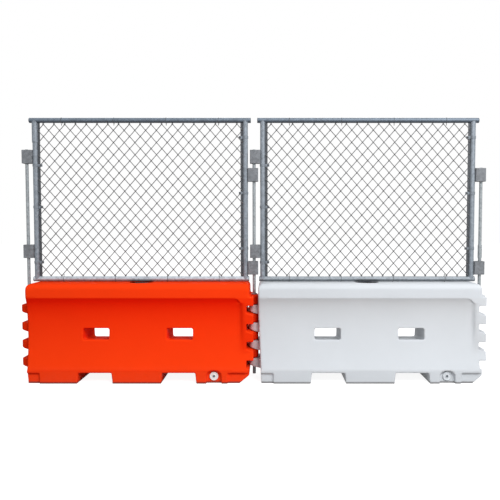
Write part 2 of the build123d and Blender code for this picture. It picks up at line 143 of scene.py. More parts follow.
class BarrierSizes(bpy.types.PropertyGroup):
    """Sizes of one barrier moulding and its hinge knuckles"""

    height: length("Height", "Top of the barrier above the ground", BARRIER_TOP)
    base_width: length("Base width", "Depth of the foot", 0.457)
    foot_height: length("Foot height", "Top of the upright foot", 0.110)
    face_lean: slant("Face lean", "How far the face leans back above the foot", 18.0)
    face_pull: length("Face pull", "How long the face keeps that lean", 0.250)
    tuck_lean: slant("Tuck lean", "How far the face tucks in under the band", 30.0)
    tuck_pull: length("Tuck pull", "How long the face keeps that lean", 0.125)
    band_width: length("Band width", "Depth of the top band", 0.376)
    band_bottom: length("Band bottom", "Lower edge of the top band", 0.697)
    crown_radius: length("Crown radius", "Rounding along the top edges", 0.045)
    shoulder_radius: length("Shoulder radius", "Rounding of the top corners seen from the front", 0.040)
    base_corner: length("Base corner", "Rounding of the upright corners", 0.040)
    end_setback: length("End setback", "From the pin axis to the end of the body", 0.036)
    end_taper: length("End taper", "How far the left end leans in at the ground", 0.026)
    taper_top: length("Taper top", "Where the lean of the left end starts", 0.575)
    toe_length: length("Toe length", "Length of the slanted toe at the right end", 0.080)
    toe_height: length("Toe height", "Height of the slanted toe", 0.065)
    column_length: length("Column length", "Plain column at the right end", 0.062)
    column_corner: length("Column corner", "Rounding where the column meets the band", 0.080)
    hole_width: length("Fork hole width", "Width of a fork hole", 0.214)
    hole_height: length("Fork hole height", "Height of a fork hole", 0.095)
    hole_bottom: length("Fork hole bottom", "Lower edge of a fork hole in the front", 0.348)
    hole_fall: length("Fork hole fall", "How far its floor falls to the back of the waist", 0.031)
    waist_width: length("Waist width", "Depth of the barrier where it is thinnest", 0.304)
    hole_spacing: length("Fork hole spacing", "Between the middles of the fork holes", 0.690)
    hole_corner: length("Fork hole corner", "Corner radius of a fork hole", 0.012)
    notch_spacing: length("Notch spacing", "Between the middles of the fork notches", 0.684)
    notch_height: length("Notch height", "Height of a fork notch", 0.088)
    notch_top: length("Notch top", "Width of a fork notch at its top", 0.270)
    notch_base: length("Notch base", "Width of a fork notch at the ground", 0.288)
    pocket_height: length("Corner pocket height", "Height of the pockets in the foot corners", 0.085)
    pocket_depth: length("Corner pocket depth", "Depth of those pockets", 0.020)
    left_pocket: length("Left pocket", "Length of the left corner pocket", 0.125)
    right_pocket: length("Right pocket", "Length of the right corner pocket", 0.175)
    knuckles: count("Knuckles", "Fingers on the right end, and lugs on the left", 4)
    knuckle_pitch: length("Knuckle pitch", "From one knuckle to the next", 0.150)
    knuckle_depth: length("Knuckle depth", "Front to back of a lug", 0.200)
    knuckle_corner: length("Knuckle corner", "Rounding of a knuckle seen from above", 0.060)
    knuckle_recess: length("Knuckle recess", "How far slots and groove go into the body", 0.024)
    knuckle_slope: FloatProperty(
        name="Knuckle slope", description="Rise per length of the slanted knuckle faces", default=0.25
    )
    finger_bottom: length("Finger bottom", "Underside of the lowest finger", 0.183)
    finger_height: length("Finger height", "Height of a finger at the pin", 0.072)
    finger_reach: length("Finger reach", "Tip of a finger past the pin", 0.036)
    cheek_setback: length("Cheek setback", "Flush part of a finger short of the pin axis", 0.002)
    lug_bottom: length("Lug bottom", "Underside of the lowest lug", 0.111)
    lug_height: length("Lug height", "Height of a lug at the pin", 0.068)
    lug_reach: length("Lug reach", "Tip of a lug past the pin", 0.044)
    knuckle_gap: length("Knuckle gap", "Between a lug and the finger on it", 0.004)
    groove_width: length("Groove width", "Groove for the next barrier's fingers", 0.236)
    fill_pocket: length("Fill pocket", "Diameter of the pocket round the fill cap", 0.200)
    fill_pocket_depth: length("Fill pocket depth", "Depth of that pocket", 0.028)
    fill_well: length("Fill well", "Diameter of the neck under the cap", 0.127)
    fill_well_depth: length("Fill well depth", "Depth of the neck that the cap needs", 0.036)
    drain_offset: length("Drain offset", "Drain plug from the barrier's middle", 0.629)
    drain_height: length("Drain height", "Middle of the drain plug", 0.058)
    drain_width: length("Drain pocket width", "Width of the arch round the plug", 0.124)
    drain_top: length("Drain pocket top", "Top of that arch", 0.105)
    drain_radius: length("Drain pocket radius", "Corner radius of that arch", 0.050)
    drain_depth: length("Drain pocket depth", "Depth of that arch", 0.030)
    drain_bore: length("Drain bore", "Diameter of the hole for the plug", 0.0506)
    drain_bore_depth: length("Drain bore depth", "Depth of that hole", 0.040)
    pin_bore: length("Pin bore", "Hole for the drop pin", 0.0276)
    grain: length("Grain", "Size of the mesh faces of the moulding", 0.0052)
    edge_passes: count("Edge passes", "Passes that round the moulded edges", 4)
    corner_passes: count("Corner passes", "Passes that round the upright ends and shoulders", 45)
    recess_passes: count("Recess passes", "Passes that fade the wall at the right end of the recess", 160)
    triangles: count("Triangles", "Triangles left in the moulding", 150000)


class FabricSizes(bpy.types.PropertyGroup):
    """Sizes of the woven wire and what holds it"""

    columns: count("Wires", "Upright zigzag wires on a panel", 38)
    rows: count("Rows", "Zigzag runs from rail to rail", 25)
    wire: length("Wire", "Wire diameter", 0.0068)
    depth: length("Weave depth", "Wire's middle in front of and behind the fabric's plane", 0.0062)
    hook: length("Hook", "How far a bend reaches past its line", 0.0034)
    edge_loop: length("Edge loop", "Radius of the loops at rails", 0.0050)
    band_strap: length("Band strap", "Thickness of a tension band", 0.003)
    band_height: length("Band height", "Height of a tension band", 0.022)
    tie_wire: length("Tie wire", "Diameter of a tie wire", 0.0035)
    weld_radius: length("Weld radius", "Size of a weld drop", 0.0036)
    weld_step: length("Weld step", "From one weld drop to the next", 0.0040)


class FenceColours(bpy.types.PropertyGroup):
    """Colours of the finishes"""

    # Painted light and shade: orange and white are the lit colours, put where a barrier faces up and on its
    # band and foot; the shaded colours go where it faces down under the band
    orange: tint("Orange", "Orange polyethylene where the sun has paled it", (1.0, 0.052, 0.006))
    shaded_orange: tint("Deep orange", "Orange polyethylene under the band", (0.89, 0.012, 0.0015))
    white: tint("White", "White polyethylene", (0.655, 0.685, 0.72))
    shaded_white: tint("Deep white", "White polyethylene under the band", (0.625, 0.63, 0.645))
    galvanised: tint("Galvanised", "Posts", (0.235, 0.265, 0.30))
    bottom_rail: tint("Bottom rail", "Bottom rails", (0.37, 0.41, 0.45))
    top_rail: tint("Top rail", "Weathered top rails", (0.17, 0.21, 0.26))
    sleeve: tint("Sleeve", "Pin sleeves", (0.180, 0.190, 0.205))
    wire: tint("Wire", "Fabric wire", (0.155, 0.156, 0.158))
    # Painted shade: the tension bars are near black to stand for the shaded strip where the woven edge meets
    # the post
    bar: tint("Tension bar", "Tension bars behind the woven edge", (0.065, 0.070, 0.078))
    fitting: tint("Fitting", "Bolts, nuts and ties", (0.11, 0.115, 0.12))
    pin: tint("Pin", "Drop pins", (0.30, 0.325, 0.34))
    dark_plastic: tint("Dark plastic", "Fill caps and tube ends", (0.012, 0.012, 0.013))
    plug_plastic: tint("Plug plastic", "Drain plug of the orange barrier", (0.84, 0.84, 0.83))
    rubber: tint("Rubber", "Gaskets", (0.02, 0.02, 0.021))
    scuff: tint("Scuff", "What worn edges of the polyethylene pale to", (0.9, 0.9, 0.9))
    dust: tint("Dust", "Dried splashes low on the barriers", (0.33, 0.29, 0.25))
    # Partly grime, partly painted shade: the lowest edges of the barriers darken towards the ground
    grime_and_shade: tint("Grime", "Lower edges of the barriers", (0.07, 0.055, 0.05))
    # Painted shade: a dark colour that stands for the shade inside the fill pockets
    pocket_shade: tint("Stain", "What dims the polyethylene in the fill pockets", (0.055, 0.060, 0.085))


class Nodes:
    """A node tree with short calls to add nodes and wire them"""

    def __init__(self, tree):
        self.tree = tree

    def feed(self, socket, value):
        if isinstance(value, bpy.types.NodeSocket):
            self.tree.links.new(value, socket)
        else:
            socket.default_value = value

    def add(self, kind, inputs=None, **settings):
        node = self.tree.nodes.new(kind)
        for name, value in settings.items():
            setattr(node, name, value)
        for name, value in (inputs or {}).items():
            self.feed(node.inputs[name], value)
        return node

    def math(self, operation, first, second=0.0):
        return self.add("ShaderNodeMath", {0: first, 1: second}, operation=operation).outputs[0]

    def blend(self, factor, first, second, kind="MIX"):
        inputs = {MIX_FACTOR: factor, MIX_FIRST: first, MIX_SECOND: second}
        return self.add("ShaderNodeMix", inputs, data_type="RGBA", blend_type=kind).outputs[MIX_RESULT]

    def ranged(self, value, span, levels):
        """The first level at the start of a span and the second at its end, straight between them"""
        start, end = span
        first, second = levels
        inputs = {"Value": value, "From Min": start, "From Max": end, "To Min": first, "To Max": second}
        return self.add("ShaderNodeMapRange", inputs).outputs["Result"]

    def noise(self, where, scale, detail=2.0):
        inputs = {"Vector": where, "Scale": scale, "Detail": detail}
        return self.add("ShaderNodeTexNoise", inputs).outputs[0]

    def bump(self, height, strength, distance, under=None):
        inputs = {"Height": height, "Strength": strength, "Distance": distance}
        if under is not None:
            inputs["Normal"] = under
        return self.add("ShaderNodeBump", inputs).outputs[0]


def shade(colour, level):
    """A colour made darker or lighter by a factor"""
    return (*[min(1.0, channel * level) for channel in colour[:3]], 1.0)


def new_material(name):
    """A material with its node tree, its shader and the place on the piece that is shaded"""
    material = bpy.data.materials.new(name)
    material.use_nodes = True
    nodes = Nodes(material.node_tree)
    nodes.tree.nodes.clear()
    shader = nodes.add("ShaderNodeBsdfPrincipled")
    nodes.add("ShaderNodeOutputMaterial", {"Surface": shader.outputs[0]})
    where = nodes.add("ShaderNodeTexCoord").outputs["Object"]
    return material, nodes, shader, where


# The mask where painted shade darkens a fill pocket
def in_fill_pocket(nodes, where, middle):
    """One in the fill pocket of the barrier with that middle, and zero elsewhere"""
    sizes = bpy.context.scene.fence_barrier
    pocket = sizes.fill_pocket / 2 + 2 * sizes.grain
    lowest = -(sizes.fill_pocket_depth + sizes.fill_well_depth + sizes.grain)
    rim = (middle, 0.0, BARRIER_TOP)
    level = (1.0, 1.0, 0.0)
    from_rim = nodes.add("ShaderNodeVectorMath", {0: where, 1: rim}, operation="SUBTRACT").outputs[0]
    flat = nodes.add("ShaderNodeVectorMath", {0: from_rim, 1: level}, operation="MULTIPLY").outputs[0]
    across = nodes.add("ShaderNodeVectorMath", {0: flat}, operation="LENGTH").outputs["Value"]
    depth = nodes.add("ShaderNodeSeparateXYZ", {0: from_rim}).outputs["Z"]
    sunk = nodes.ranged(depth, POCKET_FADE, levels=(1.0, 0.0))
    inside = nodes.math("MULTIPLY", sunk, nodes.math("LESS_THAN", across, pocket))
    return nodes.math("MULTIPLY", inside, nodes.math("GREATER_THAN", depth, lowest))


def weathered_and_shaded(nodes, base, colour, where, middle):
    """A barrier's colour with worn edges and dust low down, grime with painted shade darkening the bottom
    edge, and painted shade in its fill pocket
    """
    colours = bpy.context.scene.fence_colours
    height = nodes.add("ShaderNodeSeparateXYZ", {0: where}).outputs["Z"]
    pointed = nodes.add("ShaderNodeNewGeometry").outputs["Pointiness"]
    patches = nodes.noise(where, scale=28.0, detail=5.0)
    edges = nodes.ranged(pointed, span=(0.53, 0.62), levels=(0.0, 0.16))
    scuffed = nodes.blend(0.45, colour, tuple(colours.scuff))
    base = nodes.blend(nodes.math("MULTIPLY", edges, patches), base, scuffed)
    splashes = nodes.ranged(height, DUST_FADE, levels=(0.06, 0.0))
    base = nodes.blend(nodes.math("MULTIPLY", splashes, patches), base, tuple(colours.dust))
    # Grime and painted shade: darker along the lowest edge, where the barrier meets the ground
    base = nodes.blend(nodes.ranged(height, GRIME_AND_SHADE_FADE, levels=(0.7, 0.0)), base, tuple(colours.grime_and_shade))
    # Painted shade darkens the polyethylene inside the fill pocket
    return nodes.blend(in_fill_pocket(nodes, where, middle), base, tuple(colours.pocket_shade), "MULTIPLY")


@lru_cache(maxsize=None)
def polyethylene(name, colour, deep, middle, gloss):
    """Rotomoulded plastic with painted light and shade: the lit colour where it faces up and on band and
    foot, the shaded colour where it faces down under the band, with a satin grain
    """
    material, nodes, shader, where = new_material(name)
    sizes = bpy.context.scene.fence_barrier
    # Painted light and shade: deep is the shaded colour, for faces that point down; faces that point up, the
    # band and the foot lean to the lit colour
    facing = nodes.add("ShaderNodeNewGeometry").outputs["Normal"]
    tilt = nodes.add("ShaderNodeSeparateXYZ", {0: facing}).outputs["Z"]
    height = nodes.add("ShaderNodeSeparateXYZ", {0: where}).outputs["Z"]
    band_edge = [sizes.band_bottom + step for step in BAND_FADE]
    foot_edge = [sizes.foot_height + step for step in FOOT_FADE]
    band = nodes.ranged(height, band_edge, levels=(0.0, 0.35))
    foot = nodes.ranged(height, foot_edge, levels=(0.45, 0.0))
    lit_from_above = nodes.ranged(tilt, span=(-0.35, 0.30), levels=(0.0, 1.0))
    lit = nodes.math("ADD", lit_from_above, nodes.math("ADD", band, foot))
    clouds = nodes.noise(where, scale=2.2, detail=3.0)
    drift = nodes.ranged(clouds, span=(0.0, 1.0), levels=(0.95, 1.05))
    base = nodes.blend(1.0, nodes.blend(lit, deep, colour), drift, "MULTIPLY")
    nodes.feed(shader.inputs["Base Color"], weathered_and_shaded(nodes, base, colour, where, middle))
    stretched = nodes.add("ShaderNodeMapping", {"Vector": where, "Scale": (3.0, 3.0, 40.0)}).outputs[0]
    scuffs = nodes.noise(stretched, scale=4.0, detail=6.0)
    rough = nodes.ranged(scuffs, span=(0.3, 0.75), levels=(0.48, 0.64))
    nodes.feed(shader.inputs["Roughness"], rough)
    waves = nodes.noise(where, scale=7.0, detail=1.0)
    skin = nodes.bump(waves, strength=0.25, distance=0.006)
    grain = nodes.noise(where, scale=380.0)
    nodes.feed(shader.inputs["Normal"], nodes.bump(grain, strength=0.10, distance=0.0008, under=skin))
    shader.inputs["Specular IOR Level"].default_value = gloss
    return material


@lru_cache(maxsize=None)
def galvanised(name, colour, metal=0.30, spangle=55.0, underside_shade=1.0):
    """Hot-dip zinc: crystal spangle, dull drips, a little pale bloom and painted shade that darkens the
    underside
    """
    material, nodes, shader, where = new_material(name)
    crystals = nodes.add("ShaderNodeTexVoronoi", {"Vector": where, "Scale": spangle}).outputs["Color"]
    tone = nodes.add("ShaderNodeSeparateColor", {0: crystals}).outputs["Red"]
    base = nodes.blend(tone, shade(colour, 0.80), shade(colour, 1.18))
    drips = nodes.noise(where, scale=14.0, detail=4.0)
    bloom = nodes.ranged(drips, span=(0.55, 0.75), levels=(0.0, 0.35))
    base = nodes.blend(bloom, base, shade(colour, 1.5))
    # Painted shade: faces that point down are darker, down to the underside level
    facing = nodes.add("ShaderNodeNewGeometry").outputs["Normal"]
    tilt = nodes.add("ShaderNodeSeparateXYZ", {0: facing}).outputs["Z"]
    grime_and_shade = nodes.ranged(tilt, span=(-0.6, 0.4), levels=(underside_shade, 1.0))
    nodes.feed(shader.inputs["Base Color"], nodes.blend(1.0, base, grime_and_shade, "MULTIPLY"))
    shader.inputs["Metallic"].default_value = metal
    shader.inputs["Specular IOR Level"].default_value = 0.3
    rough = nodes.ranged(tone, span=(0.0, 1.0), levels=(0.46, 0.62))
    nodes.feed(shader.inputs["Roughness"], rough)
    grain = nodes.noise(where, scale=300.0)
    nodes.feed(shader.inputs["Normal"], nodes.bump(grain, strength=0.12, distance=0.0006))
    return material


@lru_cache(maxsize=None)
def moulded(name, colour, rough):
    """Small injection-moulded or rubber parts with a fine grain"""
    material, nodes, shader, where = new_material(name)
    spread = 0.07
    drift = nodes.noise(where, scale=60.0, detail=3.0)
    nodes.feed(shader.inputs["Base Color"], nodes.blend(drift, shade(colour, 0.85), shade(colour, 1.15)))
    uneven = nodes.ranged(drift, span=(0.3, 0.7), levels=(rough - spread, rough + spread))
    nodes.feed(shader.inputs["Roughness"], uneven)
    grain = nodes.noise(where, scale=900.0)
    nodes.feed(shader.inputs["Normal"], nodes.bump(grain, strength=0.15, distance=0.0004))
    return material


def finishes():
    """The materials by the names of the slots and pieces that wear them"""
    colours = bpy.context.scene.fence_colours
    # Each barrier's lit colour, its shaded colour for painted shade, and its middle
    orange = tuple(colours.orange), tuple(colours.shaded_orange), SECTION_X["orange"]
    white = tuple(colours.white), tuple(colours.shaded_white), SECTION_X["white"]
    steel = tuple(colours.galvanised)
    fitting = tuple(colours.fitting)
    # Lit and shaded copies of one bottom rail colour: painted light on the left panel's rail, painted shade
    # on the right panel's
    lit_rail = shade(colours.bottom_rail, 1.30)
    shaded_rail = shade(colours.bottom_rail, 0.78)
    return {
        "orange_polyethylene": polyethylene("Orange polyethylene", *orange, gloss=0.004),
        "white_polyethylene": polyethylene("White polyethylene", *white, gloss=0.25),
        "galvanised_steel": galvanised("Galvanised tube", steel),
        # The top rail's darker underside is painted shade
        "top_rail": galvanised("Weathered top rail", tuple(colours.top_rail), underside_shade=0.35),
        "left_bottom_rail": galvanised("Bright bottom rail", lit_rail, underside_shade=0.60),
        "right_bottom_rail": galvanised("Shaded bottom rail", shaded_rail, underside_shade=0.60),
        "sleeve": galvanised("Pin sleeve", tuple(colours.sleeve), metal=0.20),
        "fabric_wire": galvanised("Fabric wire", tuple(colours.wire), metal=0.25, spangle=120.0),
        # The near-black tension bars paint the shade beside the posts
        "tension_bar": galvanised("Tension bar", tuple(colours.bar), metal=0.20, spangle=120.0),
        "band_steel": galvanised("Pressed band", shade(steel, 0.85), spangle=160.0),
        "bolt_steel": galvanised("Plated bolt", shade(fitting, 0.75), metal=0.35, spangle=220.0),
        # The plug socket's darker grey is partly painted shade in the socket, given a steel finish
        "plug_socket": galvanised("Plug socket", shade(steel, 0.60), metal=0.20, spangle=220.0),
        "tie_wire": galvanised("Tie wire", shade(fitting, 1.10), spangle=200.0),
        "pin_steel": galvanised("Galvanised pipe", tuple(colours.pin), spangle=70.0),
        "end_cap_plastic": moulded("Tube end plastic", shade(colours.dark_plastic, 3.0), rough=0.60),
        "cap_plastic": moulded("Fill cap plastic", tuple(colours.dark_plastic), rough=0.60),
        "orange_barrier_plug": moulded("Drain plug plastic", tuple(colours.plug_plastic), rough=0.40),
        "white_barrier_plug": moulded("White drain plug plastic", shade(colours.white, 1.05), rough=0.50),
        "seal_rubber": moulded("Gasket rubber", tuple(colours.rubber), rough=0.70),
    }


def closed_mesh(verts, faces):
    mesh = bpy.data.meshes.new("shape")
    mesh.from_pydata(verts, [], faces)
    work = bmesh.new()
    work.from_mesh(mesh)
    bmesh.ops.recalc_face_normals(work, faces=work.faces)
    work.to_mesh(mesh)
    work.free()
    return mesh


def moved(mesh, place=(0, 0, 0), turn=Matrix()):
    mesh.transform(Matrix.Translation(place) @ turn)
    return mesh


def joined(meshes):
    work = bmesh.new()
    for mesh in meshes:
        work.from_mesh(mesh)
        bpy.data.meshes.remove(mesh)
    result = bpy.data.meshes.new("shape")
    work.to_mesh(result)
    work.free()
    return result


def link(name, data):
    made = bpy.data.objects.new(name, data)
    bpy.context.scene.collection.objects.link(made)
    return made


def evaluated(made):
    """The plain mesh of an object with its modifiers, which is then removed"""
    graph = bpy.context.evaluated_depsgraph_get()
    mesh = bpy.data.meshes.new_from_object(made.evaluated_get(graph))
    bpy.data.objects.remove(made)
    return mesh


def combined(base, steps):
    """A mesh with each (operation, mesh) applied to it in order"""
    body = link("body", base)
    tools = []
    for operation, mesh in steps:
        tool = link("tool", mesh)
        modifier = body.modifiers.new("cut", "BOOLEAN")
        modifier.operation = operation
        modifier.object = tool
        modifier.solver = "MANIFOLD"
        tools.append(tool)
    result = evaluated(body)
    result.materials.clear()
    for tool in tools:
        bpy.data.meshes.remove(tool.data)
    return result


def smooth_shaded(mesh, sharp_degrees=35.0):
    mesh.shade_smooth()
    mesh.set_sharp_from_angle(angle=math.radians(sharp_degrees))
    return mesh


def piece(name, mesh, body, slot, nodes=(), material=None):
    """A finished piece: it rides on its body and stands for its CAD nodes"""
    if not mesh.polygons:
        raise RuntimeError(f"{name} came out empty")
    made = link(name, mesh)
    if not mesh.materials:
        mesh.materials.append(material or finishes()[slot])
    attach(made, body)
    if nodes:
        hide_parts(*nodes)
    return made


def keep_node(node, slot):
    """A CAD node whose shape is right gets its finish"""
    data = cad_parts[node].data
    data.materials.clear()
    data.materials.append(finishes()[slot])


def at(axis, u, v, along):
    """The place of a point that is drawn across an axis"""
    return {"X": (along, u, v), "Y": (u, along, v), "Z": (u, v, along)}[axis]


def layered(layers, ring=False):
    """Layers of as many points each, with walls between them, closed by its ends or into a ring"""
    size = len(layers[0])
    rows = [list(range(k * size, (k + 1) * size)) for k in range(len(layers))]
    faces = [] if ring else [rows[0], rows[-1]]
    pairs = list(zip(rows, rows[1:]))
    if ring:
        pairs.append((rows[-1], rows[0]))
    for lower, upper in pairs:
        for i in range(size):
            j = (i + 1) % size
            faces.append([lower[i], lower[j], upper[j], upper[i]])
    return closed_mesh([point for layer in layers for point in layer], faces)


def loft(axis, first, second, start, end):
    """Two outlines of like size drawn across an axis, with straight walls between them"""
    return layered([[at(axis, u, v, start) for u, v in first], [at(axis, u, v, end) for u, v in second]])


def prism(axis, outline, start, end):
    """An outline drawn across an axis and swept straight along it"""
    return loft(axis, outline, outline, start, end)


def slab(plan, floor, ceiling):
    """A plan in X and Y between a floor and a ceiling whose heights follow x"""
    return layered([[(x, y, floor(x)) for x, y in plan], [(x, y, ceiling(x)) for x, y in plan]])


def incline(height, slope=0.0, start=0.0):
    """A height that is given at the start and falls from there along x"""
    return lambda x: height + slope * (start - x)


def lathe(profile, segments=LATHE_SEGMENTS):
    """A shape turned about Z from (radius, height) points; off the axis it closes into a ring"""
    verts = []
    rings = []
    for radius, height in profile:
        if radius == 0:
            rings.append([len(verts)] * segments)
            verts.append((0, 0, height))
            continue
        rings.append([len(verts) + i for i in range(segments)])
        for i in range(segments):
            angle = math.tau * i / segments
            verts.append((radius * math.cos(angle), radius * math.sin(angle), height))
    pairs = list(zip(rings, rings[1:]))
    if profile[0][0] != 0:
        pairs.append((rings[-1], rings[0]))
    faces = []
    for lower, upper in pairs:
        for i in range(segments):
            j = (i + 1) % segments
            corners = [lower[i], lower[j], upper[j], upper[i]]
            faces.append(list(dict.fromkeys(corners)))
    return closed_mesh(verts, faces)


def arc(x, y, radius, start, end, steps=ARC_STEPS):
    angles = [math.radians(start + (end - start) * i / steps) for i in range(steps + 1)]
    return [(x + radius * math.cos(a), y + radius * math.sin(a)) for a in angles]


def circle(x, y, radius, steps=LATHE_SEGMENTS):
    return arc(x, y, radius, 0, 360 - 360 / steps, steps - 1)


def rectangle(left, right, bottom, top):
    return [(left, bottom), (right, bottom), (right, top), (left, top)]


def rounded_rectangle(x, y, width, height, radius):
    dx = width / 2 - radius
    dy = height / 2 - radius
    corners = [(dx, dy, 0), (-dx, dy, 90), (-dx, -dy, 180), (dx, -dy, 270)]
    return [point for u, v, turn in corners for point in arc(x + u, y + v, radius, turn, turn + 90)]


def corner_trim(x, y, radius, turn):
    """What lies outside a rounded corner, from the arc's centre out"""
    reach = 2 * radius
    outline = [(reach, 0), (reach, reach), (0, reach)] + arc(0, 0, radius, 90, 0)
    c = math.cos(math.radians(turn))
    s = math.sin(math.radians(turn))
    return [(x + c * u - s * v, y + s * u + c * v) for u, v in outline]


def mirrored(side):
    return side + [(-u, v) for u, v in reversed(side)]


class BarrierShape:
    """One barrier about its own middle, as solids to unite and to cut"""

    # How far a rounding pass takes a point towards the middle of its neighbours
    pass_share = 0.5

    def __init__(self, sizes):
        self.s = sizes
        self.end = SECTION_HALF - sizes.end_setback
        self.recess = self.end - sizes.knuckle_recess
        self.far = sizes.base_width
        self.top_finger = sizes.finger_bottom + sizes.finger_height
        self.top_finger += (sizes.knuckles - 1) * sizes.knuckle_pitch

    def crown(self):
        s = self.s
        return arc(s.band_width / 2 - s.crown_radius, s.height - s.crown_radius, s.crown_radius, 0, 90)

    def face(self):
        """The hollow face as a curve from the top of the foot to the band"""
        s = self.s
        foot = Vector((s.base_width / 2, s.foot_height, 0))
        band = Vector((s.band_width / 2, s.band_bottom, 0))
        leaning = foot + s.face_pull * Vector((-math.sin(s.face_lean), math.cos(s.face_lean), 0))
        tucked = band - s.tuck_pull * Vector((math.sin(s.tuck_lean), math.cos(s.tuck_lean), 0))
        curve = interpolate_bezier(foot, leaning, tucked, band, FACE_STEPS)
        return [point.to_2d().to_tuple() for point in curve]

    def waisted(self):
        return mirrored([(self.s.base_width / 2, 0)] + self.face() + self.crown())

    def column_outline(self):
        half = self.s.band_width / 2
        face = self.face()
        lower = [point for point in face if point[0] > half + TOLERANCE]
        meet = face[len(lower)][1]
        return mirrored([(self.s.base_width / 2, 0)] + lower + [(half, meet)] + self.crown())

    def column(self):
        s = self.s
        start = self.end - s.column_length
        corner = s.column_corner
        face = [(self.end, 0), (self.end, s.height), (start - corner, s.height)]
        face += arc(start - corner, s.band_bottom - corner, corner, 90, 0) + [(start, 0)]
        body = prism("X", self.column_outline(), 0, self.end)
        return combined(body, [("INTERSECT", prism("Y", face, -self.far, self.far))])

    def knuckle_plan(self, root, reach):
        half = self.s.knuckle_depth / 2
        corner = self.s.knuckle_corner
        tip = SECTION_HALF + reach
        plan = [(root, -half)] + arc(tip - corner, -half + corner, corner, 270, 360)
        return plan + arc(tip - corner, half - corner, corner, 0, 90) + [(root, half)]

    def fingers(self):
        s = self.s
        root = self.end - s.knuckle_gap
        cheek_end = SECTION_HALF - s.cheek_setback
        plan = self.knuckle_plan(root, s.finger_reach)
        solids = []
        for i in range(s.knuckles):
            top_one = i == s.knuckles - 1
            slope = 0.0 if top_one else s.knuckle_slope
            bottom = s.finger_bottom + i * s.knuckle_pitch
            top = bottom + s.finger_height
            levels = incline(bottom), incline(top, slope, SECTION_HALF)
            span = slab(rectangle(root, cheek_end, -self.far, self.far), *levels)
            solids.append(combined(prism("X", self.column_outline(), root, cheek_end), [("INTERSECT", span)]))
            solids.append(slab(plan, *levels))
        return solids

    def lugs(self):
        s = self.s
        root = self.recess - s.knuckle_gap
        plan = [(-x, y) for x, y in self.knuckle_plan(root, s.lug_reach)]
        solids = []
        for i in range(s.knuckles):
            bottom = s.lug_bottom + i * s.knuckle_pitch
            floor = incline(bottom, s.knuckle_slope, -SECTION_HALF)
            solids.append(slab(plan, floor, incline(bottom + s.lug_height)))
        return solids

    def slots(self):
        """Gaps between the fingers, right through the end of the body"""
        s = self.s
        plan = rectangle(self.recess, SECTION_HALF, -self.far, self.far)
        solids = []
        for i in range(s.knuckles):
            roof = s.finger_bottom + i * s.knuckle_pitch
            under = roof - s.knuckle_pitch + s.finger_height
            floor = incline(under, s.knuckle_slope, SECTION_HALF)
            solids.append(slab(plan, floor, incline(roof)))
        return solids

    def trims(self):
        s = self.s
        x = self.end - s.base_corner
        y = s.base_width / 2 - s.base_corner
        corners = [(x, y, 0), (-x, y, 90), (-x, -y, 180), (x, -y, 270)]
        solids = []
        for u, v, turn in corners:
            solids.append(prism("Z", corner_trim(u, v, s.base_corner, turn), -CUT_REACH, CUT_REACH))
        x = self.end - s.shoulder_radius
        z = s.height - s.shoulder_radius
        for u, turn in ((x, 0), (-x, 90)):
            solids.append(prism("Y", corner_trim(u, z, s.shoulder_radius, turn), -self.far, self.far))
        toe = [
            (self.end - 2 * s.toe_length, -s.toe_height),
            (self.end + s.toe_length, -s.toe_height),
            (self.end + s.toe_length, 2 * s.toe_height),
        ]
        lean = s.end_taper / s.taper_top
        out = -SECTION_HALF
        foot = -s.end_taper
        left_end = [
            (out, foot),
            (-self.end + lean * (s.taper_top - foot), foot),
            (-self.end, s.taper_top),
            (out, s.taper_top),
        ]
        return solids + [prism("Y", outline, -self.far, self.far) for outline in (toe, left_end)]

    def fork_hole(self, x):
        """A hole right through, whose floor falls to the back"""
        s = self.s
        roof = s.hole_bottom + s.hole_height
        ends = []
        for y in (-self.far, self.far):
            floor = s.hole_bottom - s.hole_fall * (y / s.waist_width + 0.5)
            ends.append(rounded_rectangle(x, (roof + floor) / 2, s.hole_width, roof - floor, s.hole_corner))
        return loft("Y", *ends, -self.far, self.far)

    def openings(self):
        """Groove, fork holes, fork notches and the pockets in the foot and the top"""
        s = self.s
        half = s.groove_width / 2
        groove = rectangle(-SECTION_HALF, -self.recess, -half, half)
        solids = [prism("Z", groove, s.lug_bottom, self.top_finger + s.knuckle_gap)]
        for side in (-1, 1):
            solids.append(self.fork_hole(side * s.hole_spacing / 2))
            x = side * s.notch_spacing / 2
            flare = (s.notch_base - s.notch_top) / 2
            notch = [
                (x - s.notch_base / 2 - flare, -s.notch_height),
                (x + s.notch_base / 2 + flare, -s.notch_height),
                (x + s.notch_top / 2, s.notch_height),
                (x - s.notch_top / 2, s.notch_height),
            ]
            solids.append(prism("Y", notch, -self.far, self.far))
            inner = s.base_width / 2 - s.pocket_depth
            near, deep = sorted((side * inner, side * self.far))
            left = rectangle(-SECTION_HALF, s.left_pocket - self.end, -s.pocket_height, s.pocket_height)
            right = rectangle(self.end - s.right_pocket, SECTION_HALF, -s.pocket_height, s.pocket_height)
            solids += [prism("Y", outline, near, deep) for outline in (left, right)]
        floor = s.height - s.fill_pocket_depth
        solids.append(prism("Z", circle(0, 0, s.fill_pocket / 2), floor, s.height + s.fill_pocket_depth))
        half = s.drain_width / 2
        rise = s.drain_top - s.drain_radius
        inner = half - s.drain_radius
        arch = [(s.drain_offset + half, -rise)]
        arch += arc(s.drain_offset + inner, rise, s.drain_radius, 0, 90)
        arch += arc(s.drain_offset - inner, rise, s.drain_radius, 90, 180)
        arch.append((s.drain_offset - half, -rise))
        solids.append(prism("Y", arch, -self.far, s.drain_depth - s.base_width / 2))
        return solids

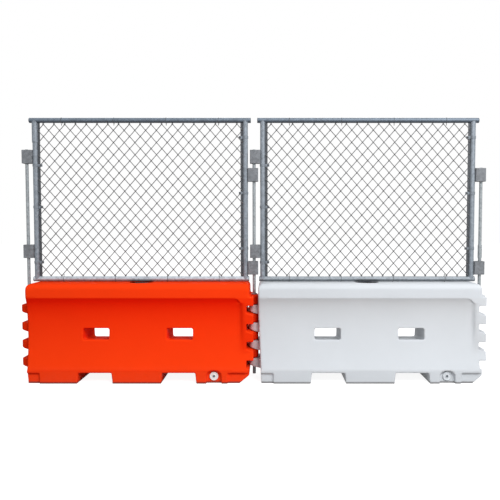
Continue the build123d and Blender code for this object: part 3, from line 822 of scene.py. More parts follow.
    def bores(self):
        """Clean round holes: the pins, the fill neck and the drain"""
        s = self.s
        solids = []
        for x in (-SECTION_HALF, SECTION_HALF):
            solids.append(prism("Z", circle(x, 0, s.pin_bore / 2), -CUT_REACH, CUT_REACH))
        floor = s.height - s.fill_pocket_depth
        neck = circle(0, 0, s.fill_well / 2)
        solids.append(prism("Z", neck, floor - s.fill_well_depth, s.height))
        mouth = s.drain_depth - s.base_width / 2
        drain = circle(s.drain_offset, s.drain_height, s.drain_bore / 2)
        solids.append(prism("Y", drain, mouth - s.drain_depth, mouth + s.drain_bore_depth))
        return solids

    def in_corner(self, point):
        """Whether a point is at a shoulder, or at an upright edge of the left end beside its groove"""
        s = self.s
        near_end = abs(point.x) > self.end - 2 * s.shoulder_radius
        if near_end and point.z > self.top_finger + s.knuckle_gap:
            return True
        return near_end and point.x < 0 and abs(point.y) > s.groove_width / 2 and point.z > s.foot_height

    def in_recess(self, point):
        """Whether a point is at the wall where the recess ends, under its rounded corner"""
        s = self.s
        if not s.foot_height < point.z < s.band_bottom - s.column_corner / 2:
            return False
        from_wall = point.x - self.end + s.column_length
        return -s.column_corner < from_wall < s.column_length / 2 and abs(point.y) > s.groove_width / 2

    def mesh(self):
        steps = [("UNION", self.column())]
        steps += [("DIFFERENCE", solid) for solid in self.trims() + self.slots() + self.openings()]
        steps += [("UNION", solid) for solid in self.fingers() + self.lugs()]
        block = link("moulding", combined(prism("X", self.waisted(), -self.end, self.end), steps))
        remesh = block.modifiers.new("skin", "REMESH")
        remesh.mode = "VOXEL"
        remesh.voxel_size = self.s.grain
        body = link("moulding", evaluated(block))
        rounds = [
            ("edges", lambda point: True, self.s.edge_passes),
            ("corners", self.in_corner, self.s.corner_passes),
            ("recess", self.in_recess, self.s.recess_passes),
        ]
        for name, belongs, passes in rounds:
            group = body.vertex_groups.new(name=name)
            group.add([vertex.index for vertex in body.data.vertices if belongs(vertex.co)], 1.0, "REPLACE")
            rounding = body.modifiers.new(name, "SMOOTH")
            rounding.factor = self.pass_share
            rounding.iterations = passes
            rounding.vertex_group = name
        skin = combined(evaluated(body), [("DIFFERENCE", solid) for solid in self.bores()])
        skin.calc_loop_triangles()
        thinned = link("moulding", skin)
        decimate = thinned.modifiers.new("thinning", "DECIMATE")
        decimate.ratio = min(1.0, self.s.triangles / len(skin.loop_triangles))
        return evaluated(thinned)


class FENCE_OT_barriers(bpy.types.Operator):
    """Builds the orange and the white barrier moulding"""

    bl_idname = "fence.barriers"
    bl_label = "Barriers"

    def execute(self, context):
        shape = BarrierShape(context.scene.fence_barrier).mesh()
        shape.materials.clear()
        for colour in SECTIONS:
            mesh = smooth_shaded(moved(shape.copy(), (SECTION_X[colour], 0, 0)))
            slot = f"{colour}_polyethylene"
            piece(f"{colour}_moulding", mesh, f"{colour}_section", slot, [f"{colour}_barrier"])
        return {"FINISHED"}


class FENCE_OT_fill_caps(bpy.types.Operator):
    """Builds the quarter-turn fill caps with a scalloped rim and a grip bar"""

    bl_idname = "fence.fill_caps"
    bl_label = "Fill caps"

    rim_scallops = 16
    rim_steps = 6
    rim_depth = 0.004
    rim_sharpness = 4
    flange = 0.008
    edge = 0.0015
    dish_depth = 0.003
    dish_floor = 0.62
    dish_mouth = 0.70
    grip_height = 0.011
    grip_length = 0.116
    grip_width = 0.016
    grip_corner = 0.0079
    plug_radius = 0.054
    plug_chamfer = 0.003

    def rim(self, radius):
        """A scalloped outline"""
        points = []
        steps = self.rim_scallops * self.rim_steps
        for i in range(steps):
            angle = math.tau * i / steps
            wave = 0.5 - 0.5 * math.cos(self.rim_scallops * angle)
            dent = self.rim_depth * wave ** self.rim_sharpness
            points.append(((radius - dent) * math.cos(angle), (radius - dent) * math.sin(angle)))
        return points

    def grip(self, inset, bottom, top):
        span = self.grip_length - 2 * inset
        width = self.grip_width - 2 * inset
        return prism("Z", rounded_rectangle(0, 0, span, width, self.grip_corner - inset), bottom, top)

    def cap(self, node):
        bottom = low(node).z
        top = high(node).z
        radius = (high(node).y - low(node).y) / 2
        edge = self.edge
        deck = top - self.grip_height
        seat = deck - self.flange
        floor = deck - self.dish_depth
        dish = [(0, floor), (radius * self.dish_floor, floor), (radius * self.dish_mouth, top), (0, top)]
        neck = self.plug_radius
        chamfer = self.plug_chamfer
        plug = [(0, bottom), (neck - chamfer, bottom), (neck, bottom + chamfer), (neck, seat + edge)]
        steps = [
            ("UNION", prism("Z", self.rim(radius - edge), seat + edge, deck)),
            ("DIFFERENCE", lathe(dish)),
            ("UNION", self.grip(0.0, seat, top - edge)),
            ("UNION", self.grip(edge, seat, top)),
            ("UNION", lathe(plug + [(0, seat + edge)])),
        ]
        return combined(prism("Z", self.rim(radius), seat, deck - edge), steps)

    def execute(self, context):
        for colour in SECTIONS:
            node = f"{colour}_fill_cap"
            mesh = smooth_shaded(moved(self.cap(node), (SECTION_X[colour], 0, 0)), sharp_degrees=30.0)
            piece(f"{colour}_cap", mesh, node, "cap_plastic", [node])
            keep_node(f"{colour}_fill_gasket", "seal_rubber")
        return {"FINISHED"}


class FENCE_OT_drain_plugs(bpy.types.Operator):
    """Builds the threaded drain plugs with their key sockets"""

    bl_idname = "fence.drain_plugs"
    bl_label = "Drain plugs"

    # Rings of the flange from its middle out: shares of its radius and of its thickness
    face_rings = (
        (0.0, 0.45), (0.30, 0.45), (0.30, 1.0), (0.45, 1.0), (0.50714, 0.72), (0.78, 0.72),
        (0.82, 1.0), (0.93, 1.0), (1.0, 0.70), (1.0, 0.05), (0.98, 0.0),
    )
    socket_share = 0.31
    socket_back = 0.2
    socket_setback = 0.0002
    shank_radius = 0.0245
    shank_start = 0.002
    thread_turns = 3
    thread_steps = 40
    thread_depth = 0.0016

    def plug(self, radius, thickness, shank_end):
        """About Z, with the flange's back at zero and its face below"""
        profile = [(across * radius, -deep * thickness) for across, deep in self.face_rings]
        for i in range(self.thread_steps + 1):
            share = i / self.thread_steps
            wave = abs(2 * ((share * self.thread_turns) % 1.0) - 1)
            z = self.shank_start + share * (shank_end - self.shank_start)
            profile.append((self.shank_radius - self.thread_depth * wave, z))
        return lathe(profile + [(0, shank_end)])

    def execute(self, context):
        materials = finishes()
        for colour in SECTIONS:
            node = f"{colour}_drain_plug"
            gasket = f"{colour}_drain_gasket"
            radius = (high(node).x - low(node).x) / 2
            seat = low(gasket).y
            thickness = seat - low(node).y
            middle = centre(node)
            mesh = self.plug(radius, thickness, high(node).y - seat)
            moved(mesh, (middle.x, seat, middle.z), TURN_TO_Y)
            smooth_shaded(mesh, sharp_degrees=40.0)
            mesh.materials.append(materials[f"{colour}_barrier_plug"])
            # Socket faces wear the darker plug socket finish, partly painted shade in the socket
            mesh.materials.append(materials["plug_socket"])
            front = low(node).y + self.socket_setback
            back = seat - self.socket_back * thickness
            for face in mesh.polygons:
                inward = (face.center.xz - middle.xz).length < self.socket_share * radius
                if inward and front < face.center.y < back:
                    face.material_index = 1
            piece(f"{colour}_plug", mesh, node, "plug_plastic", [node])
            keep_node(gasket, "seal_rubber")
        return {"FINISHED"}


def new_tree(name, inputs):
    """A Geometry Nodes tree with named inputs and one geometry output"""
    tree = bpy.data.node_groups.new(name, "GeometryNodeTree")
    for label, kind in inputs.items():
        tree.interface.new_socket(name=label, in_out="INPUT", socket_type=f"NodeSocket{kind}")
    tree.interface.new_socket(name="Geometry", in_out="OUTPUT", socket_type="NodeSocketGeometry")
    nodes = Nodes(tree)
    return nodes, nodes.add("NodeGroupInput").outputs


def end_tree(nodes, geometry, material):
    real = nodes.add("GeometryNodeRealizeInstances", {"Geometry": geometry}).outputs[0]
    soft = nodes.add("GeometryNodeSetShadeSmooth", {"Geometry": real}).outputs[0]
    painted = nodes.add("GeometryNodeSetMaterial", {"Geometry": soft, "Material": material}).outputs[0]
    nodes.add("NodeGroupOutput", {"Geometry": painted})
    return nodes.tree


def grown(tree, values, base=None):
    """The plain mesh that a tree makes from its input values"""
    host = link("host", base or bpy.data.meshes.new("host"))
    modifier = host.modifiers.new("tree", "NODES")
    modifier.node_group = tree
    for item in tree.interface.items_tree:
        if item.in_out == "INPUT" and item.name in values:
            modifier[item.identifier] = values[item.name]
    return evaluated(host)


@lru_cache(maxsize=None)
def weave_tree():
    """Upright zigzag wires that hook into each other, with loops where they end at the rails"""
    points_per_run = 4
    bend_share = 0.10
    bend_steps = 2
    wire_sides = 6
    loop_steps = 10
    loop_start = math.radians(-35)
    loop_sweep = math.radians(250)
    nodes, given = new_tree("Chain link weave", {
        "Width": "Float", "Height": "Float", "Wires": "Int", "Rows": "Int", "Wire": "Float",
        "Depth": "Float", "Hook": "Float", "Edge Loop": "Float", "Corner": "Vector", "Material": "Material",
    })
    pitch = nodes.math("DIVIDE", given["Width"], given["Wires"])
    rise = nodes.math("DIVIDE", given["Height"], given["Rows"])
    radius = nodes.math("MULTIPLY", given["Wire"], 0.5)
    inputs = {"Resolution": wire_sides, "Radius": radius}
    profile = nodes.add("GeometryNodeCurvePrimitiveCircle", inputs).outputs[0]
    join = nodes.add("GeometryNodeJoinGeometry")
    double_pitch = nodes.math("MULTIPLY", pitch, 2.0)
    offset = nodes.add("ShaderNodeCombineXYZ", {"X": double_pitch}).outputs[0]

    def as_wire(curve):
        inputs = {"Curve": curve, "Profile Curve": profile, "Fill Caps": True}
        return nodes.add("GeometryNodeCurveToMesh", inputs).outputs[0]

    def spread(geometry, first, amount, height):
        """Copies of a shape at every second column line"""
        shift_x = nodes.math("MULTIPLY", pitch, first)
        shift = nodes.add("ShaderNodeCombineXYZ", {"X": shift_x, "Z": height}).outputs[0]
        start = nodes.add("ShaderNodeVectorMath", {0: given["Corner"], 1: shift}).outputs[0]
        row = nodes.add("GeometryNodeMeshLine", {"Count": amount, "Start Location": start, "Offset": offset})
        copies = nodes.add("GeometryNodeInstanceOnPoints", {"Points": row.outputs[0], "Instance": geometry})
        nodes.tree.links.new(copies.outputs[0], join.inputs[0])

    # Even wires start at the left of their column, and odd ones at the right
    for parity in (0, 1):
        size = nodes.math("ADD", nodes.math("MULTIPLY", given["Rows"], points_per_run), 1)
        line = nodes.add("GeometryNodeMeshLine", {"Count": size}).outputs[0]
        path = nodes.add("GeometryNodeMeshToCurve", {"Mesh": line}).outputs[0]
        index = nodes.add("GeometryNodeInputIndex").outputs[0]
        run = nodes.math("FLOOR", nodes.math("DIVIDE", nodes.math("ADD", index, 0.5), points_per_run))
        step = nodes.math("SUBTRACT", index, nodes.math("MULTIPLY", run, points_per_run))
        inside = nodes.math("GREATER_THAN", step, 0.5)
        spread_share = nodes.math("MULTIPLY", nodes.math("SUBTRACT", step, 2.0), 0.5 - bend_share)
        share = nodes.math("MULTIPLY", inside, nodes.math("ADD", spread_share, 0.5))
        turn = nodes.math("MODULO", nodes.math("ADD", run, parity), 2.0)
        side = nodes.math("SUBTRACT", 1.0, nodes.math("MULTIPLY", turn, 2.0))
        across = nodes.math("ADD", turn, nodes.math("MULTIPLY", side, share))
        bend = nodes.math("MULTIPLY", nodes.math("SUBTRACT", 1.0, inside), side)
        reach = nodes.math("MULTIPLY", bend, given["Hook"])
        x = nodes.math("SUBTRACT", nodes.math("MULTIPLY", across, pitch), reach)
        y = nodes.math("MULTIPLY", nodes.math("MULTIPLY", inside, side), given["Depth"])
        z = nodes.math("MULTIPLY", nodes.math("ADD", run, share), rise)
        place = nodes.add("ShaderNodeCombineXYZ", {"X": x, "Y": y, "Z": z}).outputs[0]
        path = nodes.add("GeometryNodeSetPosition", {"Geometry": path, "Position": place}).outputs[0]
        path = nodes.add("GeometryNodeCurveSplineType", {"Curve": path}, spline_type="CATMULL_ROM").outputs[0]
        path = nodes.add("GeometryNodeSetSplineResolution", {0: path, "Resolution": bend_steps}).outputs[0]
        amount = nodes.math("FLOOR", nodes.math("DIVIDE", nodes.math("ADD", given["Wires"], 1 - parity), 2.0))
        spread(as_wire(path), parity, amount, 0.0)

    # Loops where two wires end together at a rail
    loop = as_wire(nodes.add("GeometryNodeCurveArc", {
        "Resolution": loop_steps, "Radius": given["Edge Loop"],
        "Start Angle": loop_start, "Sweep Angle": loop_sweep,
    }).outputs[0])
    upright = nodes.add("GeometryNodeTransform", {"Geometry": loop, "Rotation": (math.radians(90), 0, 0)})
    flipped = nodes.add("GeometryNodeTransform", {"Geometry": loop, "Rotation": (math.radians(-90), 0, 0)})
    half = nodes.math("FLOOR", nodes.math("DIVIDE", given["Wires"], 2.0))
    top_first = nodes.math("MODULO", given["Rows"], 2.0)
    spread(upright.outputs[0], top_first, half, given["Height"])
    spread(flipped.outputs[0], 2.0, nodes.math("SUBTRACT", half, 1.0), 0.0)
    return end_tree(nodes, join.outputs[0], given["Material"])


@lru_cache(maxsize=None)
def copies_tree():
    """Copies of a master shape on points, each turned about Z and X by the points' own attributes"""
    nodes, given = new_tree("Place copies", {
        "Points": "Geometry", "Master": "Object", "Material": "Material",
    })
    master = nodes.add("GeometryNodeObjectInfo", {"Object": given["Master"]}).outputs["Geometry"]
    turn = nodes.add("GeometryNodeInputNamedAttribute", {"Name": "turn"}, data_type="FLOAT").outputs[0]
    roll = nodes.add("GeometryNodeInputNamedAttribute", {"Name": "roll"}, data_type="FLOAT").outputs[0]
    angles = nodes.add("ShaderNodeCombineXYZ", {"X": roll, "Z": turn}).outputs[0]
    rotation = nodes.add("FunctionNodeEulerToRotation", {0: angles}).outputs[0]
    inputs = {"Points": given["Points"], "Instance": master, "Rotation": rotation}
    copies = nodes.add("GeometryNodeInstanceOnPoints", inputs).outputs[0]
    return end_tree(nodes, copies, given["Material"])


@lru_cache(maxsize=None)
def weld_tree():
    """Overlapping drops along a path, a little uneven in size"""
    smallest = 0.82
    largest = 1.12
    fineness = 2
    nodes, given = new_tree("Weld bead", {
        "Path": "Geometry", "Radius": "Float", "Step": "Float", "Seed": "Int", "Material": "Material",
    })
    path = nodes.add("GeometryNodeMeshToCurve", {"Mesh": given["Path"]}).outputs[0]
    inputs = {"Curve": path, "Length": given["Step"]}
    path = nodes.add("GeometryNodeResampleCurve", inputs, mode="LENGTH").outputs[0]
    inputs = {"Radius": given["Radius"], "Subdivisions": fineness}
    drop = nodes.add("GeometryNodeMeshIcoSphere", inputs).outputs[0]
    inputs = {RANDOM_LEAST: smallest, RANDOM_MOST: largest, "Seed": given["Seed"]}
    sizes = nodes.add("FunctionNodeRandomValue", inputs, data_type="FLOAT").outputs[RANDOM_RESULT]
    inputs = {"Points": path, "Instance": drop, "Scale": sizes}
    drops = nodes.add("GeometryNodeInstanceOnPoints", inputs).outputs[0]
    return end_tree(nodes, drops, given["Material"])


def copies(master, places, material):
    """Copies of a mesh at (place, turn, roll), as one plain mesh"""
    points = bpy.data.meshes.new("points")
    points.from_pydata([place for place, turn, roll in places], [], [])
    for name, values in (("turn", [p[1] for p in places]), ("roll", [p[2] for p in places])):
        points.attributes.new(name, "FLOAT", "POINT").data.foreach_set("value", values)
    pattern = link("master", master)
    mesh = grown(copies_tree(), {"Master": pattern, "Material": material}, points)
    bpy.data.objects.remove(pattern)
    return mesh


def path_mesh(paths, closed):
    """Paths as bare edges, for a tree to follow"""
    verts = []
    edges = []
    for path in paths:
        first = len(verts)
        verts += path
        edges += [(first + i, first + i + 1) for i in range(len(path) - 1)]
        if closed:
            edges.append((first + len(path) - 1, first))
    mesh = bpy.data.meshes.new("paths")
    mesh.from_pydata(verts, edges, [])
    return mesh


def weld_bead(paths, closed, seed, material):
    """Weld drops along paths of points, as one plain mesh"""
    sizes = bpy.context.scene.fence_fabric
    values = {"Radius": sizes.weld_radius, "Step": sizes.weld_step, "Seed": seed, "Material": material}
    return grown(weld_tree(), values, path_mesh(paths, closed))


class FENCE_OT_panel_frames(bpy.types.Operator):
    """Finishes the tube frames: rails, posts, end caps, the head sleeve and the weld beads"""

    bl_idname = "fence.panel_frames"
    bl_label = "Panel frames"

    saddle_steps = 48
    weld_seeds = {"left": 3, "right": 8}
    cap_thickness = 0.003
    cap_edge = 0.0012
    cap_step = 0.003
    cap_insert = 0.004

    def saddle(self, x, rail_z, side):
        """Where a post meets a rail of the same size"""
        points = []
        for i in range(self.saddle_steps):
            angle = math.tau * i / self.saddle_steps
            depth = TUBE_RADIUS * math.sin(angle)
            drop = math.sqrt(max(0.0, TUBE_RADIUS ** 2 - depth ** 2))
            points.append((x + TUBE_RADIUS * math.cos(angle), depth, rail_z + side * drop))
        return points

    def end_cap(self):
        edge = self.cap_edge
        thickness = self.cap_thickness
        inner = TUBE_RADIUS - self.cap_step
        profile = [
            (0, -self.cap_insert), (inner, -self.cap_insert), (inner, 0.0), (TUBE_RADIUS, 0.0),
            (TUBE_RADIUS, thickness - edge), (TUBE_RADIUS - edge, thickness), (0, thickness),
        ]
        return moved(lathe(profile), turn=TURN_TO_X)

    def execute(self, context):
        steel = finishes()["galvanised_steel"]
        for colour, panel in SECTIONS.items():
            body = f"{colour}_section"
            for side in POST_SIDES:
                keep_node(f"{panel}_panel_{side}_post", "galvanised_steel")
            posts = [SECTION_X[colour] + side * POST_X for side in POST_SIDES.values()]
            paths = [self.saddle(x, TOP_RAIL_Z, -1) for x in posts]
            paths += [self.saddle(x, BOTTOM_RAIL_Z, 1) for x in posts]
            mesh = weld_bead(paths, True, self.weld_seeds[panel], steel)
            piece(f"{panel}_panel_frame_welds", mesh, body, "galvanised_steel")
            caps = f"{panel}_panel_rail_end_caps"
            places = []
            # Each bottom rail wears its panel's lit or shaded copy of the rail colour, which is painted light
            # or shade
            for name, finish in (("top_rail", "top_rail"), ("bottom_rail", f"{panel}_bottom_rail")):
                rail = f"{panel}_panel_{name}"
                keep_node(rail, finish)
                z = centre(rail).z
                places += [((low(rail).x, 0, z), math.pi, 0.0), ((high(rail).x, 0, z), 0.0, 0.0)]
            mesh = copies(self.end_cap(), places, finishes()["end_cap_plastic"])
            piece(f"{panel}_panel_tube_ends", smooth_shaded(mesh), body, "end_cap_plastic", [caps])
        keep_node("left_panel_head_sleeve", "galvanised_steel")
        return {"FINISHED"}


class FENCE_OT_pin_sleeves(bpy.types.Operator):
    """Builds the box sleeves on the posts, rounded like rolled section, with weld beads"""

    bl_idname = "fence.pin_sleeves"
    bl_label = "Pin sleeves"

    wall = 0.005
    outer_corner = 0.008
    inner_corner = 0.004
    edge = 0.0012
    bead_inset = 0.003
    weld_seed = 5

    def box(self, bottom, top):
        """A hollow box with rolled corners and dulled rims"""
        width = top.x - bottom.x
        depth = top.y - bottom.y
        x = (bottom.x + top.x) / 2
        # Rings of points: whether on the inner face, how far inside that face's line, and how high
        levels = [
            (0, self.edge, bottom.z), (0, 0, bottom.z + self.edge), (0, 0, top.z - self.edge),
            (0, self.edge, top.z), (1, -self.edge, top.z), (1, 0, top.z - self.edge),
            (1, 0, bottom.z + self.edge), (1, -self.edge, bottom.z),
        ]
        layers = []
        for inner, inset, z in levels:
            cut = 2 * (inner * self.wall + inset)
            corner = (self.inner_corner if inner else self.outer_corner) - inset
            outline = rounded_rectangle(x, 0, width - cut, depth - cut, corner)
            layers.append([(u, v, z) for u, v in outline])
        return layered(layers, ring=True)

    def execute(self, context):
        steel = finishes()["sleeve"]
        for colour, panel in SECTIONS.items():
            body = f"{colour}_section"
            beads = []
            for name in SLEEVES:
                node = f"{panel}_panel_{name}"
                bottom, top = node_box(node)
                side = 1 if "right" in name else -1
                post = SECTION_X[colour] + side * POST_X
                shape = self.box(bottom, top)
                tube = prism("Z", circle(post, 0, TUBE_RADIUS), bottom.z - self.wall, top.z + self.wall)
                mesh = smooth_shaded(combined(shape, [("DIFFERENCE", tube)]), sharp_degrees=30.0)
                piece(f"{panel}_panel_{name}_box", mesh, body, "galvanised_steel", [node], steel)
                for y in (bottom.y, top.y):
                    x = post + side * (TUBE_RADIUS - self.bead_inset)
                    depth = math.copysign(math.sqrt(TUBE_RADIUS ** 2 - (x - post) ** 2), y)
                    beads.append([(x, depth, bottom.z), (x, depth, top.z)])
            mesh = weld_bead(beads, False, self.weld_seed, steel)
            piece(f"{panel}_panel_sleeve_welds", mesh, body, "galvanised_steel")
        return {"FINISHED"}


class FENCE_OT_chain_link(bpy.types.Operator):
    """Weaves the chain-link fabric of both panels round their tension bars"""

    bl_idname = "fence.chain_link"
    bl_label = "Chain link"

    bar_edge = 0.001

    def bar(self, node, post_face):
        """A flat bar from the fabric's edge to the post beside it"""
        bottom, top = node_box(node)
        fabric_edge = max((bottom.x, top.x), key=lambda x: abs(x - post_face))
        middle = (fabric_edge + post_face) / 2
        width = abs(fabric_edge - post_face)
        outline = rounded_rectangle(middle, 0, width, top.y - bottom.y, self.bar_edge)
        return prism("Z", outline, bottom.z, top.z)

    def execute(self, context):
        sizes = context.scene.fence_fabric
        for colour, panel in SECTIONS.items():
            body = f"{colour}_section"
            node = f"{panel}_panel_chain_link"
            bar = node_box(f"{panel}_panel_right_tension_bar")
            hook_line = bar[1].x - SECTION_X[colour] + sizes.wire / 2 - sizes.hook
            margin = sizes.edge_loop + sizes.wire / 2
            bottom = low(node).z + margin
            height = high(node).z - margin - bottom
            values = {
                "Width": 2 * hook_line, "Height": height, "Wires": sizes.columns, "Rows": sizes.rows,
                "Wire": sizes.wire, "Depth": sizes.depth, "Hook": sizes.hook, "Edge Loop": sizes.edge_loop,
                "Corner": (SECTION_X[colour] - hook_line, 0, bottom), "Material": finishes()["fabric_wire"],
            }
            mesh = grown(weave_tree(), values)
            piece(f"{panel}_panel_weave", mesh, body, "fabric_wire", [node])
            for name, side in POST_SIDES.items():
                node = f"{panel}_panel_{name}_tension_bar"
                # The bar fills the gap from the woven edge to the post, and its near-black finish paints the
                # shade there
                mesh = self.bar(node, SECTION_X[colour] + side * (POST_X - TUBE_RADIUS))
                material = finishes()["tension_bar"]
                piece(f"{panel}_panel_{name}_bar", smooth_shaded(mesh), body, "band_steel", [node], material)
        return {"FINISHED"}


class FENCE_OT_tension_fittings(bpy.types.Operator):
    """Builds the tension bands with their carriage bolts and nuts"""

    bl_idname = "fence.tension_fittings"
    bl_label = "Tension fittings"

    strap_steps = 40
    strap_edge = 0.0006
    ear_end = 0.010
    bolt_segments = 16
    head_radius = 0.0085
    head_height = 0.0052
    head_steps = 6
    shank_radius = 0.004
    thread_root = 0.0035
    thread_land = 0.0002
    thread_turns = 5
    tail_radius = 0.0036
    nut_sides = 6
    nut_radius = 0.0075
    nut_bore = 0.0039
    nut_edge = 0.0008

    def strap(self, sizes, ear, tip):
        """A strap round a post at the origin, with two ears that reach to tip along -X"""
        thick = sizes.band_strap / 2
        half = sizes.band_height / 2
        edge = self.strap_edge
        section = [
            (-thick, half - edge), (edge - thick, half), (thick - edge, half), (thick, half - edge),
            (thick, edge - half), (thick - edge, -half), (edge - thick, -half), (-thick, edge - half),
        ]
        radius = TUBE_RADIUS + thick
        middle = ear - thick
        gap = math.degrees(math.asin(middle / radius))
        wrap = arc(0, 0, radius, 180 - gap, gap - 180, self.strap_steps)
        path = [(tip, middle)] + wrap + [(tip, -middle)]
        layers = []
        for i, (x, y) in enumerate(path):
            before = Vector(path[max(i - 1, 0)])
            after = Vector(path[min(i + 1, len(path) - 1)])
            along = (after - before).normalized()
            layers.append([(x - along.y * out, y + along.x * out, z) for out, z in section])
        return layered(layers)

    def bolt(self, ear, tail):
        """Along Y, with the domed head in front"""
        profile = [(0, -ear - self.head_height)]
        for i in reversed(range(self.head_steps)):
            angle = math.pi / 2 * i / self.head_steps
            profile.append((self.head_radius * math.cos(angle), -ear - self.head_height * math.sin(angle)))
        profile += [(self.shank_radius, -ear), (self.shank_radius, ear)]
        pitch = (tail - ear) / self.thread_turns
        for i in range(self.thread_turns):
            z = ear + pitch * i
            profile += [(self.shank_radius, z + self.thread_land), (self.thread_root, z + pitch / 2)]
        profile += [(self.tail_radius, tail), (0, tail)]
        return moved(lathe(profile, self.bolt_segments), turn=TURN_TO_Y)

    def nut(self, ear, height):
        edge = self.nut_edge
        radius = self.nut_radius
        top = ear + height
        profile = [
            (self.nut_bore, ear), (radius - edge, ear), (radius, ear + edge),
            (radius, top - edge), (radius - edge, top), (self.nut_bore, top),
        ]
        return moved(lathe(profile, self.nut_sides), turn=TURN_TO_Y)

    def heights(self, mesh, middle):
        """(side, height) of each bolt in a group, from the group's own vertices"""
        spans = {1: [], -1: []}
        for z, side in sorted((vertex.co.z, 1 if vertex.co.x > middle else -1) for vertex in mesh.vertices):
            if not spans[side] or z - spans[side][-1][1] > 2 * self.head_radius:
                spans[side].append([z, z])
            spans[side][-1][1] = z
        return [(side, (bottom + top) / 2) for side in (-1, 1) for bottom, top in spans[side]]

    def execute(self, context):
        sizes = context.scene.fence_fabric
        materials = finishes()
        for colour, panel in SECTIONS.items():
            body = f"{colour}_section"
            bolts = f"{panel}_panel_band_bolts"
            nuts = f"{panel}_panel_band_nuts"
            bands = f"{panel}_panel_tension_bands"
            middle = SECTION_X[colour]
            ear = low(nuts).y
            bolt_x = high(bolts).x - self.head_radius - middle
            strap_places = []
            bolt_places = []
            for side, z in self.heights(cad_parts[bolts].data, middle):
                turn = 0.0 if side > 0 else math.pi
                strap_places.append(((middle + side * POST_X, 0, z), turn, 0.0))
                bolt_places.append(((middle + side * bolt_x, 0, z), 0.0, 0.0))
            reach = bolt_x - self.ear_end - POST_X
            mesh = copies(self.strap(sizes, ear, reach), strap_places, materials["band_steel"])
            piece(f"{panel}_panel_straps", smooth_shaded(mesh), body, "band_steel", [bands])
            mesh = copies(self.bolt(ear, high(bolts).y), bolt_places, materials["bolt_steel"])
            smooth_shaded(mesh, sharp_degrees=50.0)
            piece(f"{panel}_panel_bolts", mesh, body, "bolt_steel", [bolts])
            mesh = copies(self.nut(ear, high(nuts).y - ear), bolt_places, materials["bolt_steel"])
            smooth_shaded(mesh, sharp_degrees=20.0)
            piece(f"{panel}_panel_nuts", mesh, body, "bolt_steel", [nuts])
        return {"FINISHED"}


class FENCE_OT_rail_ties(bpy.types.Operator):
    """Winds the tie wires round the rails and twists their tails into the fabric"""

    bl_idname = "fence.rail_ties"
    bl_label = "Rail ties"

    ties_per_rail = 4
    clearance = 0.0002
    wrap_degrees = 150
    wrap_steps = 20
    wrap_sweep = 0.004
    neck = Vector((0.002, 0.003, -0.004))
    twist_steps = 7
    twist_degrees = 90
    twist_start = 0.006
    twist_radius = 0.0019
    twist_rise = 0.0021

    def tail(self, strand, radius):
        """One strand of the twist, from the rail down"""
        points = [(strand * self.neck.x, strand * self.neck.y, self.neck.z - radius)]
        for i in range(self.twist_steps):
            angle = math.radians(self.twist_degrees * (i + strand))
            depth = radius + self.twist_start + i * self.twist_rise
            points.append((self.twist_radius * math.cos(angle), self.twist_radius * math.sin(angle), -depth))
        return points

    def wire(self, sizes):
        """A tie about a rail along X, with its twisted tail below"""
        radius = TUBE_RADIUS + sizes.tie_wire / 2 + self.clearance
        wrap = []
        for i in range(self.wrap_steps + 1):
            share = 2 * i / self.wrap_steps - 1
            angle = math.radians(self.wrap_degrees * share)
            wrap.append((self.wrap_sweep * share, radius * math.sin(angle), radius * math.cos(angle)))
        points = self.tail(-1, radius)[::-1] + wrap + self.tail(1, radius)
        curve = bpy.data.curves.new("tie", "CURVE")
        curve.dimensions = "3D"
        spline = curve.splines.new("NURBS")
        spline.points.add(len(points) - 1)
        for point, place in zip(spline.points, points):
            point.co = (*place, 1.0)
        spline.order_u = 3
        spline.use_endpoint_u = True
        spline.resolution_u = 3
        curve.bevel_depth = sizes.tie_wire / 2
        curve.bevel_resolution = 1
        curve.use_fill_caps = True
        return evaluated(link("tie", curve))

    def execute(self, context):
        sizes = context.scene.fence_fabric
        for colour, panel in SECTIONS.items():
            node = f"{panel}_panel_rail_ties"
            span = high(node).x - low(node).x - sizes.tie_wire
            places = []
            for i in range(self.ties_per_rail):
                x = low(node).x + sizes.tie_wire / 2 + span * i / (self.ties_per_rail - 1)
                places += [((x, 0, TOP_RAIL_Z), 0.0, 0.0), ((x, 0, BOTTOM_RAIL_Z), 0.0, math.pi)]
            mesh = copies(self.wire(sizes), places, finishes()["tie_wire"])
            piece(f"{panel}_panel_ties", mesh, f"{colour}_section", "tie_wire", [node])
        return {"FINISHED"}


